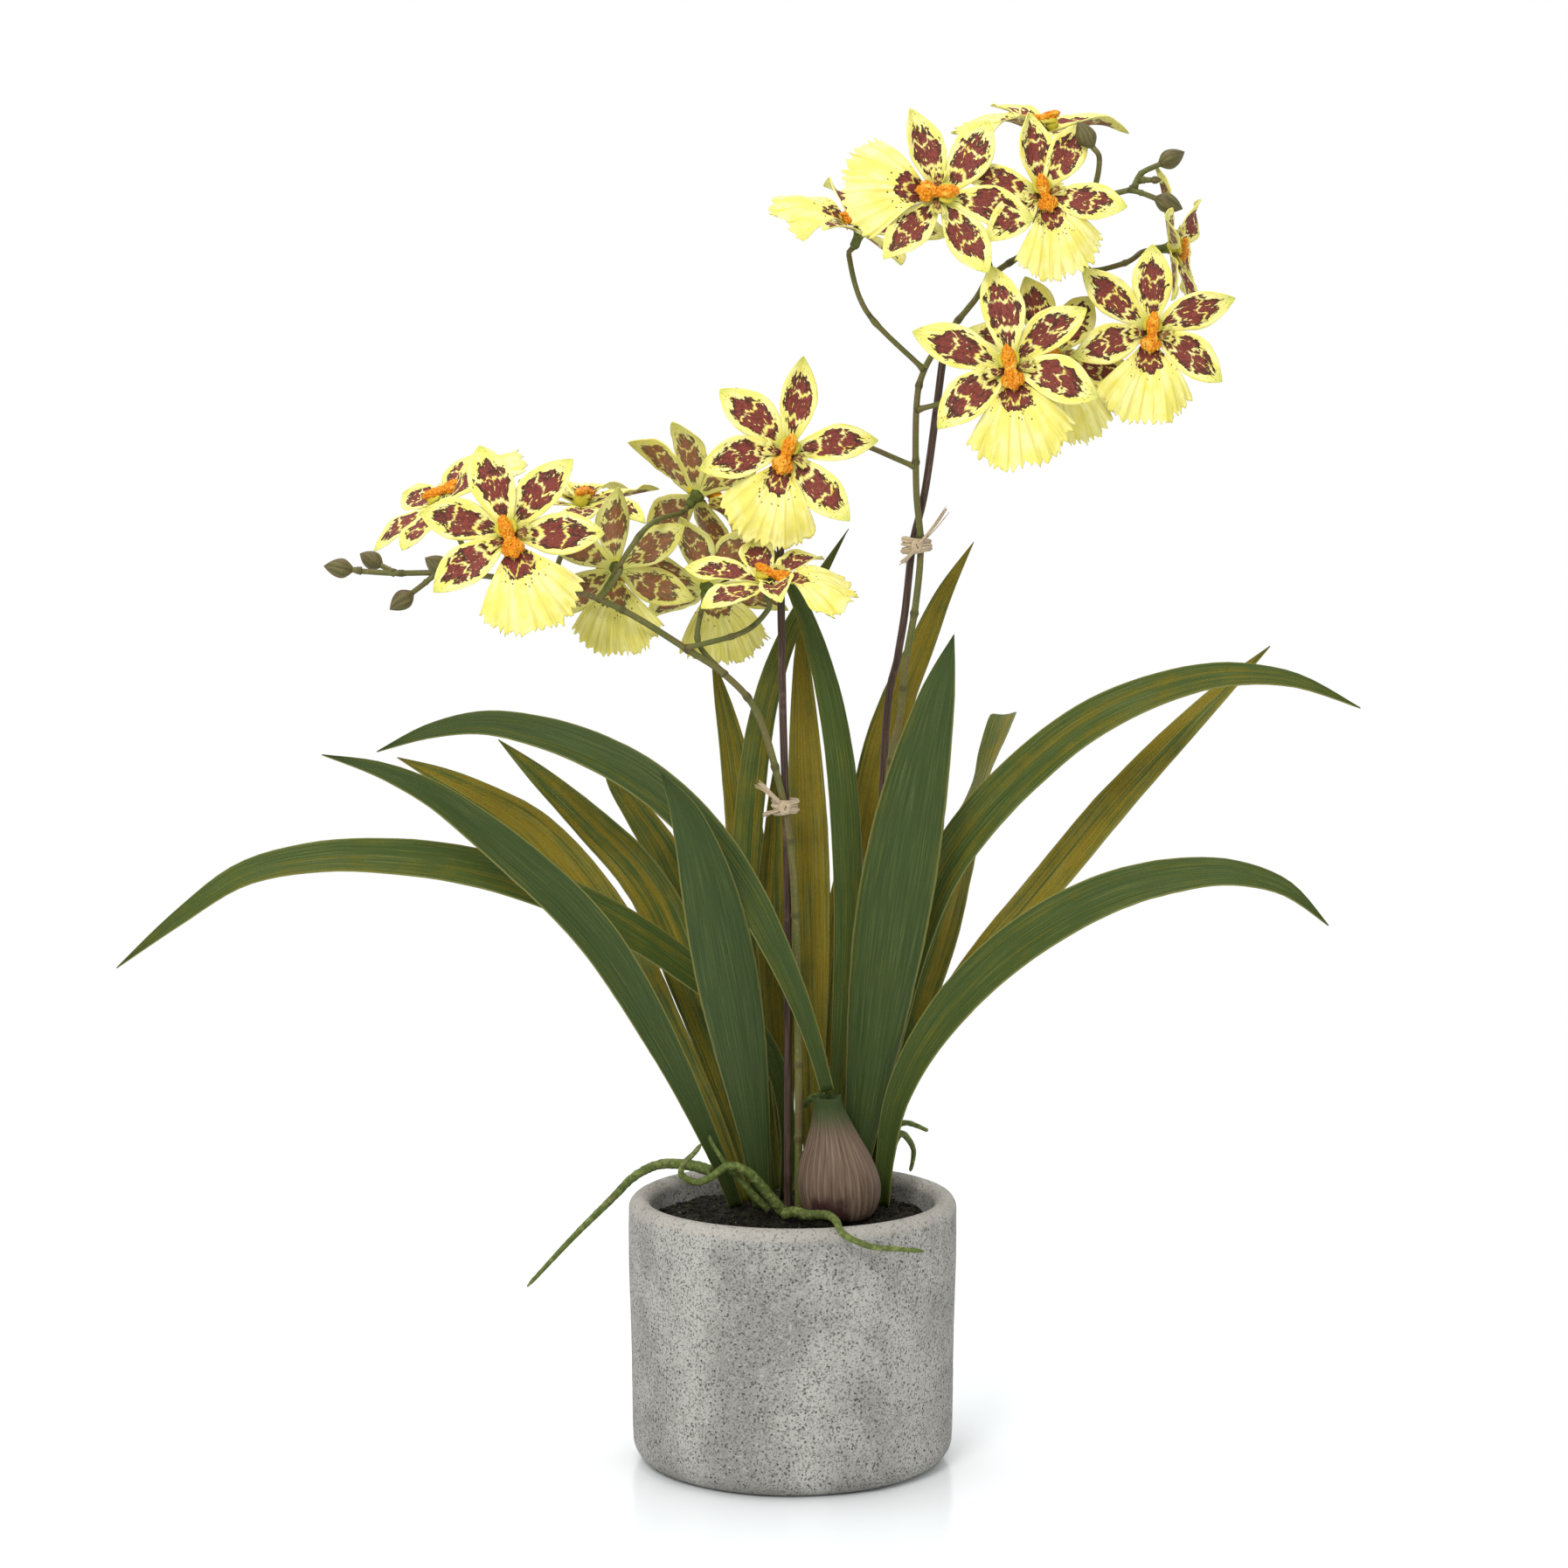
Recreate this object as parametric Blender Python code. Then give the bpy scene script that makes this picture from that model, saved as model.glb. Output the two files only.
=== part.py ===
"""A potted orchid: cement pot, soil, bulb, strap leaves, two staked flower spikes, roots and flowers.

Metres, +Z up. The origin is the centre of the pot's flat underside. The plant's front faces -Y.
"""
import math

import bmesh
import bpy
from mathutils import Matrix, Vector

MM = 0.001
GAP = 0.0003
SOCKET_GAP = 0.0006

POT_RADIUS = 67.5 * MM
POT_HEIGHT = 110 * MM
POT_WALL = 9 * MM
POT_FLOOR = 12 * MM
POT_FOOT_RADIUS = 56.5 * MM
POT_CORNER = 10 * MM
POT_WAIST_DRAFT = 1.6 * MM
POT_BELLY_DRAFT = 0.7 * MM
POT_BELLY_SHARE = 0.55
POT_SIDES = 40

SOIL_TOP = 102 * MM

BULB_RADIUS = 16.5 * MM
BULB_HEIGHT = 50 * MM
BULB_CENTRE = (20 * MM, -7 * MM)
BULB_LEAN = -6 * MM
BULB_SIDES = 20

LEAF_THICKNESS = 0.9 * MM
LEAF_STATIONS = 13

STAKE_RADIUS = 1.5 * MM
STEM_RADIUS = 1.6 * MM
PEDICEL_RADIUS = 1.1 * MM
BUD_RADIUS = 4 * MM
TUBE_SIDES = 6

PETAL_LENGTH = 34 * MM
PETAL_WIDTH = 15 * MM
PETAL_THICKNESS = 0.8 * MM
LIP_LENGTH = 38 * MM
LIP_WIDTH = 36 * MM
CORE_RADIUS = 3.2 * MM
CORE_DEPTH = 2.4 * MM
COLUMN_LENGTH = 8 * MM
SOCKET_LENGTH = 6 * MM

# Each leaf: its route from the soil to the tip in millimetres, its full width, the way its printed
# face looks at the base and at the tip, and how far its edges fold towards that face, in degrees.
LEAVES = {
    "leaf_far_left": (
        [(-3, 24, 103), (-3, 17, 144), (-15, 8, 176), (-43, -2, 204), (-77, -14, 228),
         (-122, -24, 247), (-170, -32, 254), (-218, -38, 248), (-269, -42, 211)],
        17, (0.3, -1, 0.2), (0, -0.75, 0.65), 14),
    "leaf_left_front": (
        [(-23, 9, 103), (-33, -4, 132), (-53, -20, 178), (-81, -36, 226),
         (-120, -50, 265), (-151, -60, 288), (-183, -68, 299)],
        17, (-0.1, -1, 0), (0, -0.8, 0.6), 14),
    "leaf_left_gold": (
        [(-20, 17, 103), (-35, 22, 139), (-54, 28, 175), (-77, 34, 218),
         (-106, 38, 254), (-137, 38, 274), (-164, 36, 287)],
        21, (0, -1, 0.1), (0.1, -0.85, 0.5), 12),
    "leaf_left_mid": (
        [(-14, 25, 103), (-26, 31, 142), (-41, 36, 186), (-60, 42, 231), (-90, 47, 263), (-123, 50, 293)],
        19, (0.1, -1, 0), (0.2, -0.9, 0.3), 12),
    "leaf_left_back": (
        [(-14, 34, 103), (-20, 43, 145), (-35, 56, 198), (-56, 68, 245), (-74, 76, 270), (-82, 80, 288)],
        18, (0.1, -1, 0), (0.2, -1, 0), 12),
    "leaf_front_broad": (
        [(-12, 2, 103), (-16, -8, 140), (-24, -24, 193), (-33, -38, 241), (-42, -46, 272), (-52, -50, 290)],
        27, (0, -1, 0.1), (0.15, -1, 0.2), -18),
    "leaf_bulb_arch": (
        [(14, -8, 155), (6, -16, 184), (-8, -22, 218), (-28, -24, 253), (-57, -20, 282),
         (-94, -16, 300), (-132, -16, 306), (-167, -18, 295)],
        17, (0.1, -1, 0), (0, -0.75, 0.65), 14),
    "leaf_centre_right_tip": (
        [(-8, 17, 103), (-15, 18, 156), (-20, 20, 211), (-18, 20, 266), (-12, 22, 309),
         (-1, 25, 341), (12, 28, 364), (23, 31, 382)],
        13, (0.2, -1, 0), (-0.3, -1, 0.3), -20),
    "leaf_centre_left_back": (
        [(-5, 43, 103), (-9, 51, 162), (-18, 58, 235), (-25, 62, 287), (-34, 68, 327)],
        17, (0.1, -1, 0), (0.2, -1, 0), 12),
    "leaf_narrow_back": (
        [(-2, 34, 103), (-5, 34, 165), (-8, 34, 224), (-7, 36, 256), (-7, 38, 286)],
        15, (0.2, -1, 0), (0, -1, 0), 16),
    "leaf_centre_tall": (
        [(8, 25, 103), (8, 22, 167), (7, 20, 240), (5, 26, 294), (3, 35, 347)],
        17, (0, -1, 0), (0, -1, 0), 12),
    "leaf_centre_left_tip": (
        [(14, 19, 103), (20, 14, 169), (23, 9, 232), (20, 5, 286), (12, 4, 328), (-1, 6, 362), (-16, 8, 385)],
        13, (-0.1, -1, 0), (0.4, -1, 0.3), -14),
    "leaf_centre_back": (
        [(10, 41, 103), (14, 46, 155), (18, 54, 206), (23, 62, 249)],
        14, (0, -1, 0), (0, -1, 0), 12),
    "leaf_back_droop": (
        [(-5, 49, 103), (-10, 60, 150), (-15, 78, 188), (-27, 98, 208), (-46, 112, 205), (-66, 118, 186)],
        17, (0.1, -1, 0.1), (-0.2, 0.5, 0.85), 12),
    "leaf_right_gold": (
        [(21, 33, 103), (25, 35, 172), (29, 37, 238), (38, 40, 293), (54, 42, 334), (66, 42, 361), (75, 42, 376)],
        17, (0, -1, 0), (-0.2, -1, 0.1), 12),
    "leaf_right_broad": (
        [(24, 14, 103), (31, 3, 159), (38, -12, 216), (47, -22, 271), (56, -28, 313), (64, -30, 343)],
        32, (-0.1, -1, 0), (-0.2, -1, 0), -16),
    "leaf_right_folded": (
        [(36, 41, 103), (45.4, 50.3, 163), (60, 62.5, 212), (74.4, 74, 252), (85, 88.4, 282), (91.3, 104, 299),
         (92, 121, 284)],
        27, (-0.12, -1, 0.1), (0.03, 0.64, 0.77), 9),
    "leaf_right_arch": (
        [(31, 20, 103), (40.3, 11.2, 173), (58, 4.3, 237), (86.4, 0.2, 277), (125, -6.3, 309), (159.4, -12, 322),
         (191, -16.4, 326), (227, -22.3, 313)],
        18, (-0.12, -1, 0), (0.03, -0.75, 0.65), 15),
    "leaf_right_twist": (
        [(37, 24, 103), (45, 24, 148), (73, 26, 194), (105, 30, 232), (139, 34, 273), (175, 38, 311), (198, 40, 333)],
        18, (-0.5, -0.6, 0.6), (-0.5, -0.9, 0.2), 20),
    "leaf_right_low": (
        [(37, 10, 103), (41.3, 3.2, 144), (58.2, -8, 181), (89, -22.3, 216), (130.4, -34, 241), (171, -42.3, 249),
         (198, -46.2, 242), (212, -48.3, 229)],
        19, (-0.22, -1, 0.1), (0.03, -0.7, 0.7), 13),
}

STAKES = {
    "stake_left": [(-2, 2, 102.4), (-2, 0, 233), (-4, -2, 311), (-5, -4, 383)],
    "stake_right": [(33, 28, 102.4), (34, 25, 152), (38, 21, 295), (43, 18, 330), (46, 17, 349), (49, 15, 377),
                    (54, 12, 400), (61, 9, 454)],
}

# Each spike: the main stem's route in millimetres.
SPIKES = {
    "spike_left": [(2.6, 0, 102.4), (2.4, -1, 169), (1.2, -2.2, 225), (-0.8, -4.6, 255), (-4.5, -5.8, 277), (-14, -8, 309),
                   (-27, -10, 325), (-43, -12, 336), (-65, -15, 350), (-83, -15, 358), (-104, -8, 362),
                   (-127, -4, 365), (-143, -6, 366), (-160, -8, 366), (-175, -10, 367)],
    "spike_right": [(29, 28, 102.4), (31, 22, 167), (39, 15, 277), (44, 12, 307), (46, 11, 328), (50, 9.5, 352),
                    (52, 9.5, 376), (50, 7, 400), (50, 6, 433), (53, 5, 447), (61, 3, 460), (73, 0, 475),
                    (80, -1, 485), (98, -2, 497), (111, -2, 508), (122, -2, 515), (136, -2, 519)],
}

# Bud twigs: spike, the route in millimetres from a point on the stem to the bud's foot, and the bud's size.
BUD_TWIGS = [
    ("spike_left", [(-173, -10, 367), (-177, -10, 367.5)], 1.0),
    ("spike_left", [(-160, -8, 366), (-164, -5, 368), (-166, -4, 369)], 0.95),
    ("spike_left", [(-130, -4, 365), (-135, -12, 365), (-138, -14, 367)], 1.05),
    ("spike_left", [(-143, -6, 366), (-149, -9, 361), (-153, -11, 358)], 1.0),
    ("spike_right", [(134, -2, 519), (140, -3, 517), (145, -4, 515)], 1.0),
    ("spike_right", [(136, -2, 519), (139, 0, 525), (147, 2, 529)], 1.0),
    ("spike_right", [(138, -0.8, 522.5), (141, -1.2, 522.5), (143, -1.5, 522.5)], 0.4),
    ("spike_right", [(111, -2, 508), (119, -12, 518), (121, -18, 530), (118, -18, 535)], 1.0),
]

# Each flower: its centre in millimetres, the way it faces, the way its lip hangs, its size, the point
# where its pedicel leaves the spike, the point that the pedicel bends through, and its spike.
FLOWERS = {
    "flower_right_1": ((27, 0, 502), (0.35, -0.35, 0.85), (-0.9, -0.15, 0.25), 1.0,
                       (53, 5, 447), (30, 3, 470), "spike_right"),
    "flower_right_2": ((58, -30, 515), (0.15, -0.95, 0.3), (-1, -0.1, 0.1), 1.05,
                       (80, -1, 485), (74, -4, 500), "spike_right"),
    "flower_right_3": ((98, -20, 517), (0.1, -0.95, 0.3), (0.3, 0, -1), 0.95,
                       (98, -2, 497), (97, 0, 506), "spike_right"),
    "flower_right_4": ((102, 22, 543), (0.05, -0.2, 1), (-1, 0.1, 0.05), 1.0,
                       (110, -2, 507), (105, 14, 518), "spike_right"),
    "flower_right_5": ((152, 10, 496), (0.95, -0.3, 0.15), (0.3, 0.9, -0.3), 0.95,
                       (120, 0, 486), (134, 5, 490), "spike_right"),
    "flower_right_6": ((142, -14, 463), (0.1, -0.95, 0.2), (-0.1, 0, -1), 1.0,
                       (98, -2, 497), (120, 0, 486), "spike_right"),
    "flower_right_7": ((85, -34, 449), (-0.05, -0.95, 0.25), (0.2, 0, -1), 1.1,
                       (50, 6, 431), (70, -4, 437), "spike_right"),
    "flower_right_8": ((103, -2, 452), (0.15, -0.9, 0.4), (0.3, 0, -1), 1.0,
                       (76, -0.5, 479), (90, 6, 463), "spike_right"),
    "flower_right_9": ((-2, -14, 415), (0.05, -0.95, 0.2), (-0.35, 0, -1), 1.05,
                       (50, 7, 408), (20, 2, 419), "spike_right"),
    "flower_left_1": ((-142, 16, 393), (-0.5, -0.3, 0.75), (0.8, 0, 0.4), 1.0,
                      (-127, -4, 365), (-134, 2, 378), "spike_left"),
    "flower_left_2": ((-112, -34, 383), (-0.1, -0.95, 0.25), (0.35, 0, -1), 1.1,
                      (-104, -8, 362), (-108, -14, 370), "spike_left"),
    "flower_left_3": ((-86, 22, 392), (0.0, -0.25, 1), (0.1, 0.9, 0.2), 0.95,
                      (-93, -12, 360.2), (-94, -3, 371), "spike_left"),
    "flower_left_4": ((-71, -6, 368), (-0.15, 0.95, 0.1), (0, 0.1, -1), 0.95,
                      (-78, -15, 355.5), (-74, -18, 360), "spike_left"),
    "flower_left_5": ((-39, 17, 396), (0.45, 0.65, 0.5), (0.9, -0.1, -0.4), 1.05,
                      (-78, -15, 355.5), (-59, -14, 384), "spike_left"),
    "flower_left_6": ((-35, 17, 359), (0.1, 0.8, 0.5), (0.2, 0, -1), 1.0,
                      (-27, -10, 325), (-38, -8, 338), "spike_left"),
    "flower_left_7": ((-10, -27, 363), (0, -0.35, 0.93), (0.95, -0.2, -0.2), 0.95,
                      (-43, -12, 336), (-20, -20, 343), "spike_left"),
}

# Each root: its route in millimetres, its radius at the thick end and at the tip.
ROOTS = {
    "root_over_left_rim": ([(-33, 13, 117), (-42, 20, 118), (-55, 27, 117), (-66, 26, 112), (-76, 20, 103),
                            (-91, 14, 89), (-110, 10, 69)], 2.4, 0.8),
    "root_coiled": ([(-4, -7, 104.5), (-9, -9, 111), (-15, -12, 119), (-21, -14, 124), (-27, -16, 125),
                     (-33, -17, 121), (-39, -18, 119), (-45, -18, 122), (-44, -18, 127), (-40, -18, 131),
                     (-37, -18, 135)], 2.4, 0.9),
    "root_under": ([(-10, -4, 105), (-15, -6, 110), (-20, -7, 116), (-26, -9, 123), (-32, -10, 132),
                    (-34, -11, 137)], 1.7, 0.7),
    "root_over_front_rim": ([(-3, -14, 105), (1, -19, 107), (6, -27, 107.5), (11, -38, 110), (14, -50, 112.5),
                             (17, -62, 113), (20, -70.5, 109.5), (30, -71.5, 105), (41, -68, 103),
                             (52, -63, 101)], 2.3, 0.8),
    "root_right_upper": ([(41, 32, 128), (44, 34, 132), (48, 35, 133), (53, 37, 131), (57, 38, 129)], 1.5, 0.8),
    "root_right_lower": ([(42, 33, 124), (45, 36, 128), (48, 40, 126), (51, 45, 120), (51, 49, 114),
                          (50, 51, 109)], 1.6, 0.8),
    "root_stub": ([(5, 8, 146), (7, 5, 149), (10, 2, 151), (13, -1, 152)], 1.5, 0.9),
}

TIES = {
    "tie_left": ((-3, -3, 271), 5.2, 5.2, [(-6, -8, 274), (-11, -9, 279), (-14, -8, 281)],
                 [(-6, -8, 270), (-10, -8, 269), (-12, -7, 268)]),
    "tie_right": ((50.4, 12.2, 376), 6, 6, [(52, 5, 378), (57, 4, 384), (62, 5, 391)],
                  [(49, 5, 374), (46, 5, 371), (44, 6, 369)]),
}


def clear_scene():
    for item in list(bpy.data.objects):
        bpy.data.objects.remove(item)


def material(name, colour, roughness, metallic=0.0):
    made = bpy.data.materials.get(name) or bpy.data.materials.new(name)
    made.use_nodes = True
    shader = made.node_tree.nodes["Principled BSDF"]
    shader.inputs["Base Color"].default_value = (*colour, 1)
    shader.inputs["Roughness"].default_value = roughness
    shader.inputs["Metallic"].default_value = metallic
    return made


def add_object(name, mesh, look, sharp_degrees=40):
    mesh.shade_smooth()
    mesh.set_sharp_from_angle(angle=math.radians(sharp_degrees))
    mesh.materials.clear()
    mesh.materials.append(look)
    item = bpy.data.objects.new(name, mesh)
    bpy.context.scene.collection.objects.link(item)
    return item


def mesh_from(name, shape):
    bmesh.ops.recalc_face_normals(shape, faces=shape.faces)
    mesh = bpy.data.meshes.new(name)
    shape.to_mesh(mesh)
    shape.free()
    return mesh


def in_metres(points):
    return [Vector(point) * MM for point in points]


def smooth_route(points, stations):
    """Evenly spaced points on a smooth curve through the given ones."""
    ends = [2 * points[0] - points[1], *points, 2 * points[-1] - points[-2]]
    fine = []
    steps = 16
    for before, start, end, after in zip(ends, ends[1:], ends[2:], ends[3:]):
        for step in range(steps):
            t = step / steps
            fine.append(0.5 * (2 * start + (end - before) * t
                               + (2 * before - 5 * start + 4 * end - after) * t ** 2
                               + (3 * start - before - 3 * end + after) * t ** 3))
    fine.append(points[-1])
    reach = [0.0]
    for start, end in zip(fine, fine[1:]):
        reach.append(reach[-1] + (end - start).length)
    route = []
    index = 0
    for station in range(stations):
        wanted = reach[-1] * station / (stations - 1)
        while index < len(fine) - 2 and reach[index + 1] < wanted:
            index += 1
        span = reach[index + 1] - reach[index]
        route.append(fine[index].lerp(fine[index + 1], min(1, (wanted - reach[index]) / span)))
    return route


def tangents(route):
    padded = [route[0], *route, route[-1]]
    return [(after - before).normalized() for before, after in zip(padded, padded[2:])]


def loft(shape, rings):
    """Side faces between rings that each hold the same number of vertices."""
    for lower, upper in zip(rings, rings[1:]):
        count = len(lower)
        for i in range(count):
            j = (i + 1) % count
            shape.faces.new((lower[i], lower[j], upper[j], upper[i]))


def close_with_point(shape, ring, point):
    tip = shape.verts.new(point)
    for i, corner in enumerate(ring):
        shape.faces.new((corner, ring[(i + 1) % len(ring)], tip))


def turned_rings(shape, profile, sides, centre=(0, 0), lean=lambda height: 0.0):
    rings = []
    for radius, height in profile:
        ring = []
        for side in range(sides):
            angle = math.tau * side / sides
            ring.append(shape.verts.new((centre[0] + lean(height) + radius * math.cos(angle),
                                         centre[1] + radius * math.sin(angle), height)))
        rings.append(ring)
    return rings


def arc(centre_radius, centre_height, size, start, end, steps):
    """Points of a quarter round in a turned profile."""
    points = []
    for step in range(steps + 1):
        angle = math.radians(start + (end - start) * step / steps)
        points.append((centre_radius + size * math.cos(angle), centre_height + size * math.sin(angle)))
    return points


def add_pot():
    lip = POT_WALL / 2
    inner = POT_RADIUS - POT_WALL
    waist = POT_RADIUS - POT_WAIST_DRAFT
    profile = arc(waist - POT_CORNER, POT_CORNER, POT_CORNER, -90, 0, 4)
    profile[0] = (POT_FOOT_RADIUS, 0)
    profile += [(POT_RADIUS - POT_BELLY_DRAFT, POT_BELLY_SHARE * POT_HEIGHT)]
    profile += arc(POT_RADIUS - lip, POT_HEIGHT - lip, lip, 0, 180, 6)
    profile += [(inner - 1 * MM, SOIL_TOP - 4 * MM), (inner - 4 * MM, POT_FLOOR + 8 * MM),
                (inner - 12 * MM, POT_FLOOR)]
    shape = bmesh.new()
    rings = turned_rings(shape, profile, POT_SIDES)
    loft(shape, rings)
    shape.faces.new(rings[0])
    shape.faces.new(rings[-1])
    look = material("pot_cement", (0.42, 0.41, 0.37), 0.85)
    add_object("pot", mesh_from("pot", shape), look)


def add_soil():
    inner = POT_RADIUS - POT_WALL
    profile = [(inner - 13 * MM, POT_FLOOR + GAP), (inner - 4.6 * MM, POT_FLOOR + 8 * MM),
               (inner - 1.6 * MM, SOIL_TOP - 4 * MM), (inner - 2 * MM, SOIL_TOP - 1.5 * MM),
               (inner - 8 * MM, SOIL_TOP - 0.4 * MM)]
    shape = bmesh.new()
    rings = turned_rings(shape, profile, POT_SIDES)
    loft(shape, rings)
    shape.faces.new(rings[0])
    shape.faces.new(rings[-1])
    look = material("soil_peat", (0.02, 0.018, 0.013), 0.95)
    add_object("soil", mesh_from("soil", shape), look)


def add_bulb():
    foot = SOIL_TOP + GAP
    shares = [(0.55, 0.0), (0.82, 0.07), (0.96, 0.17), (1.0, 0.28), (0.96, 0.40), (0.82, 0.54),
              (0.62, 0.68), (0.43, 0.82), (0.33, 0.93), (0.32, 1.0)]
    profile = [(BULB_RADIUS * radius, foot + BULB_HEIGHT * height) for radius, height in shares]

    def lean(height):
        return BULB_LEAN * ((height - foot) / BULB_HEIGHT) ** 2

    shape = bmesh.new()
    rings = turned_rings(shape, profile, BULB_SIDES, BULB_CENTRE, lean)
    loft(shape, rings)
    shape.faces.new(rings[0])
    shape.faces.new(rings[-1])
    look = material("bulb_skin", (0.22, 0.15, 0.10), 0.6)
    add_object("bulb", mesh_from("bulb", shape), look)


def leaf_width(share, width):
    """Half the leaf's width at a share of its length: narrow at the foot, widest past the middle."""
    rise = 0.34 + 0.66 * math.sin(math.pi / 2 * min(1, share / 0.55)) ** 1.5
    fall = 1.0 if share < 0.55 else math.cos(math.pi / 2 * (share - 0.55) / 0.45) ** 0.75
    return width / 2 * rise * fall


def loft_blade(shape, rings):
    """A leaf's sides in triangles, split alike on both faces, so that the thin blade never crosses itself."""
    for lower, upper in zip(rings, rings[1:]):
        for edge in (0, 2):
            for middle in (1, 3):
                shape.faces.new((lower[edge], lower[middle], upper[middle]))
                shape.faces.new((lower[edge], upper[middle], upper[edge]))


def add_leaf(name, points, width, base_facing, tip_facing, fold_degrees, look):
    route = smooth_route(in_metres(points), LEAF_STATIONS)
    ways = tangents(route)
    shape = bmesh.new()
    rings = []
    for station in range(LEAF_STATIONS - 1):
        share = station / (LEAF_STATIONS - 1)
        facing = Vector(base_facing).normalized().lerp(Vector(tip_facing).normalized(), share)
        facing = (facing - facing.dot(ways[station]) * ways[station]).normalized()
        side = ways[station].cross(facing)
        half = leaf_width(share, width * MM)
        fold = math.radians(fold_degrees * (1.6 - 0.9 * share))
        lift = facing * half * math.sin(fold)
        spread = side * half * math.cos(fold)
        middle = facing * LEAF_THICKNESS / 2
        centre = route[station]
        rings.append([shape.verts.new(centre + lift - spread), shape.verts.new(centre - middle),
                      shape.verts.new(centre + lift + spread), shape.verts.new(centre + middle)])
    loft_blade(shape, rings)
    shape.faces.new(rings[0])
    close_with_point(shape, rings[-1], route[-1])
    return add_object(name, mesh_from(name, shape), look, 75)


def add_leaves():
    look = material("leaf_green", (0.07, 0.11, 0.03), 0.55)
    for name, (points, width, base_facing, tip_facing, fold_degrees) in LEAVES.items():
        add_leaf(name, points, width, base_facing, tip_facing, fold_degrees, look)


def tube(points, radius, tip_radius, stations, sides=TUBE_SIDES):
    """A closed tapering tube along a smooth route."""
    route = smooth_route(points, stations)
    ways = tangents(route)
    across = ways[0].orthogonal().normalized()
    shape = bmesh.new()
    rings = []
    for station, (centre, way) in enumerate(zip(route, ways)):
        across = (across - across.dot(way) * way).normalized()
        other = way.cross(across)
        share = station / (stations - 1)
        size = radius + (tip_radius - radius) * share
        rings.append([shape.verts.new(centre + size * (math.cos(math.tau * i / sides) * across
                                                       + math.sin(math.tau * i / sides) * other))
                      for i in range(sides)])
    loft(shape, rings)
    shape.faces.new(rings[0])
    shape.faces.new(rings[-1])
    return mesh_from("tube", shape)


def joined(name, meshes, look):
    """One body: the first mesh united with each of the others."""
    body = bpy.data.objects.new(name, meshes[0])
    bpy.context.scene.collection.objects.link(body)
    tools = []
    for mesh in meshes[1:]:
        tool = bpy.data.objects.new("tool", mesh)
        tool.hide_render = True
        tool.display_type = "WIRE"
        bpy.context.scene.collection.objects.link(tool)
        union = body.modifiers.new("union", "BOOLEAN")
        union.operation = "UNION"
        union.object = tool
        tools.append(tool)
    evaluated = body.evaluated_get(bpy.context.evaluated_depsgraph_get())
    mesh = bpy.data.meshes.new_from_object(evaluated)
    for spare in [body, *tools]:
        bpy.data.objects.remove(spare)
    return add_object(name, mesh, look)


def add_stakes():
    look = material("stake_brown", (0.09, 0.055, 0.04), 0.6)
    for name, points in STAKES.items():
        mesh = tube(in_metres(points), STAKE_RADIUS, STAKE_RADIUS, 14, 8)
        add_object(name, mesh, look)


def bud_mesh(foot, way, size):
    """A pointed egg on its foot, along the way its twig goes."""
    turn = way.to_track_quat("Z", "Y").to_matrix().to_4x4()
    shape = bmesh.new()
    sides = 8
    length = 2.9 * BUD_RADIUS * size
    shares = [(0.30, 0.0), (0.82, 0.14), (1.0, 0.38), (0.86, 0.62), (0.45, 0.86)]
    profile = [(BUD_RADIUS * size * radius, length * height) for radius, height in shares]
    rings = turned_rings(shape, profile, sides)
    loft(shape, rings)
    shape.faces.new(rings[0])
    close_with_point(shape, rings[-1], (0, 0, length))
    bmesh.ops.transform(shape, matrix=Matrix.Translation(foot) @ turn, verts=shape.verts)
    return mesh_from("bud", shape)


def socket_end(centre, facing, size):
    """Where a flower's pedicel meets the flower's back."""
    return centre - facing * (size * (CORE_DEPTH / 2 + SOCKET_LENGTH) + SOCKET_GAP)


def pedicel_mesh(start, bend, centre, facing, size):
    end = socket_end(centre, facing, size)
    return tube([start, bend, end - facing * 5 * MM, end], PEDICEL_RADIUS, PEDICEL_RADIUS, 8)


def add_spikes():
    look = material("spike_olive", (0.12, 0.12, 0.04), 0.55)
    for name, points in SPIKES.items():
        meshes = [tube(in_metres(points), STEM_RADIUS, 0.7 * STEM_RADIUS, 26)]
        for spike, route, size in BUD_TWIGS:
            if spike != name:
                continue
            twig = in_metres(route)
            meshes.append(tube(twig, 0.8 * PEDICEL_RADIUS, 0.8 * PEDICEL_RADIUS, 5))
            way = (twig[-1] - twig[-2]).normalized()
            meshes.append(bud_mesh(twig[-1] - way * 0.4 * MM, way, size))
        for centre, facing, _, size, start, bend, spike in FLOWERS.values():
            if spike != name:
                continue
            facing = Vector(facing).normalized()
            meshes.append(pedicel_mesh(Vector(start) * MM, Vector(bend) * MM, Vector(centre) * MM, facing, size))
        joined(name, meshes, look)


def add_ties():
    look = material("tie_raffia", (0.72, 0.58, 0.38), 0.8)
    for name, (centre, wide, deep, *tails) in TIES.items():
        centre = Vector(centre) * MM
        shape = bmesh.new()
        sides = 16
        rings = []
        for side in range(sides):
            angle = math.tau * side / sides
            out = Vector((math.cos(angle) * wide, math.sin(angle) * deep, 0)) * MM
            rings.append([shape.verts.new(centre + out * scale + Vector((0, 0, height * MM)))
                          for scale, height in ((1, -2.5), (1.22, -2), (1.22, 2), (1, 2.5))])
        loft(shape, rings + rings[:1])
        meshes = [mesh_from("band", shape)]
        for tail in tails:
            start = centre + Vector((0, -deep * MM * 1.1, 0))
            meshes.append(tube([start, *in_metres(tail)], 1.1 * MM, 0.7 * MM, 6, 5))
        joined(name, meshes, look)


def add_roots():
    look = material("root_green", (0.14, 0.19, 0.06), 0.7)
    for name, (points, thick, thin) in ROOTS.items():
        mesh = tube(in_metres(points), thick * MM, thin * MM, 2 * len(points), TUBE_SIDES)
        add_object(name, mesh, look)


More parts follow.
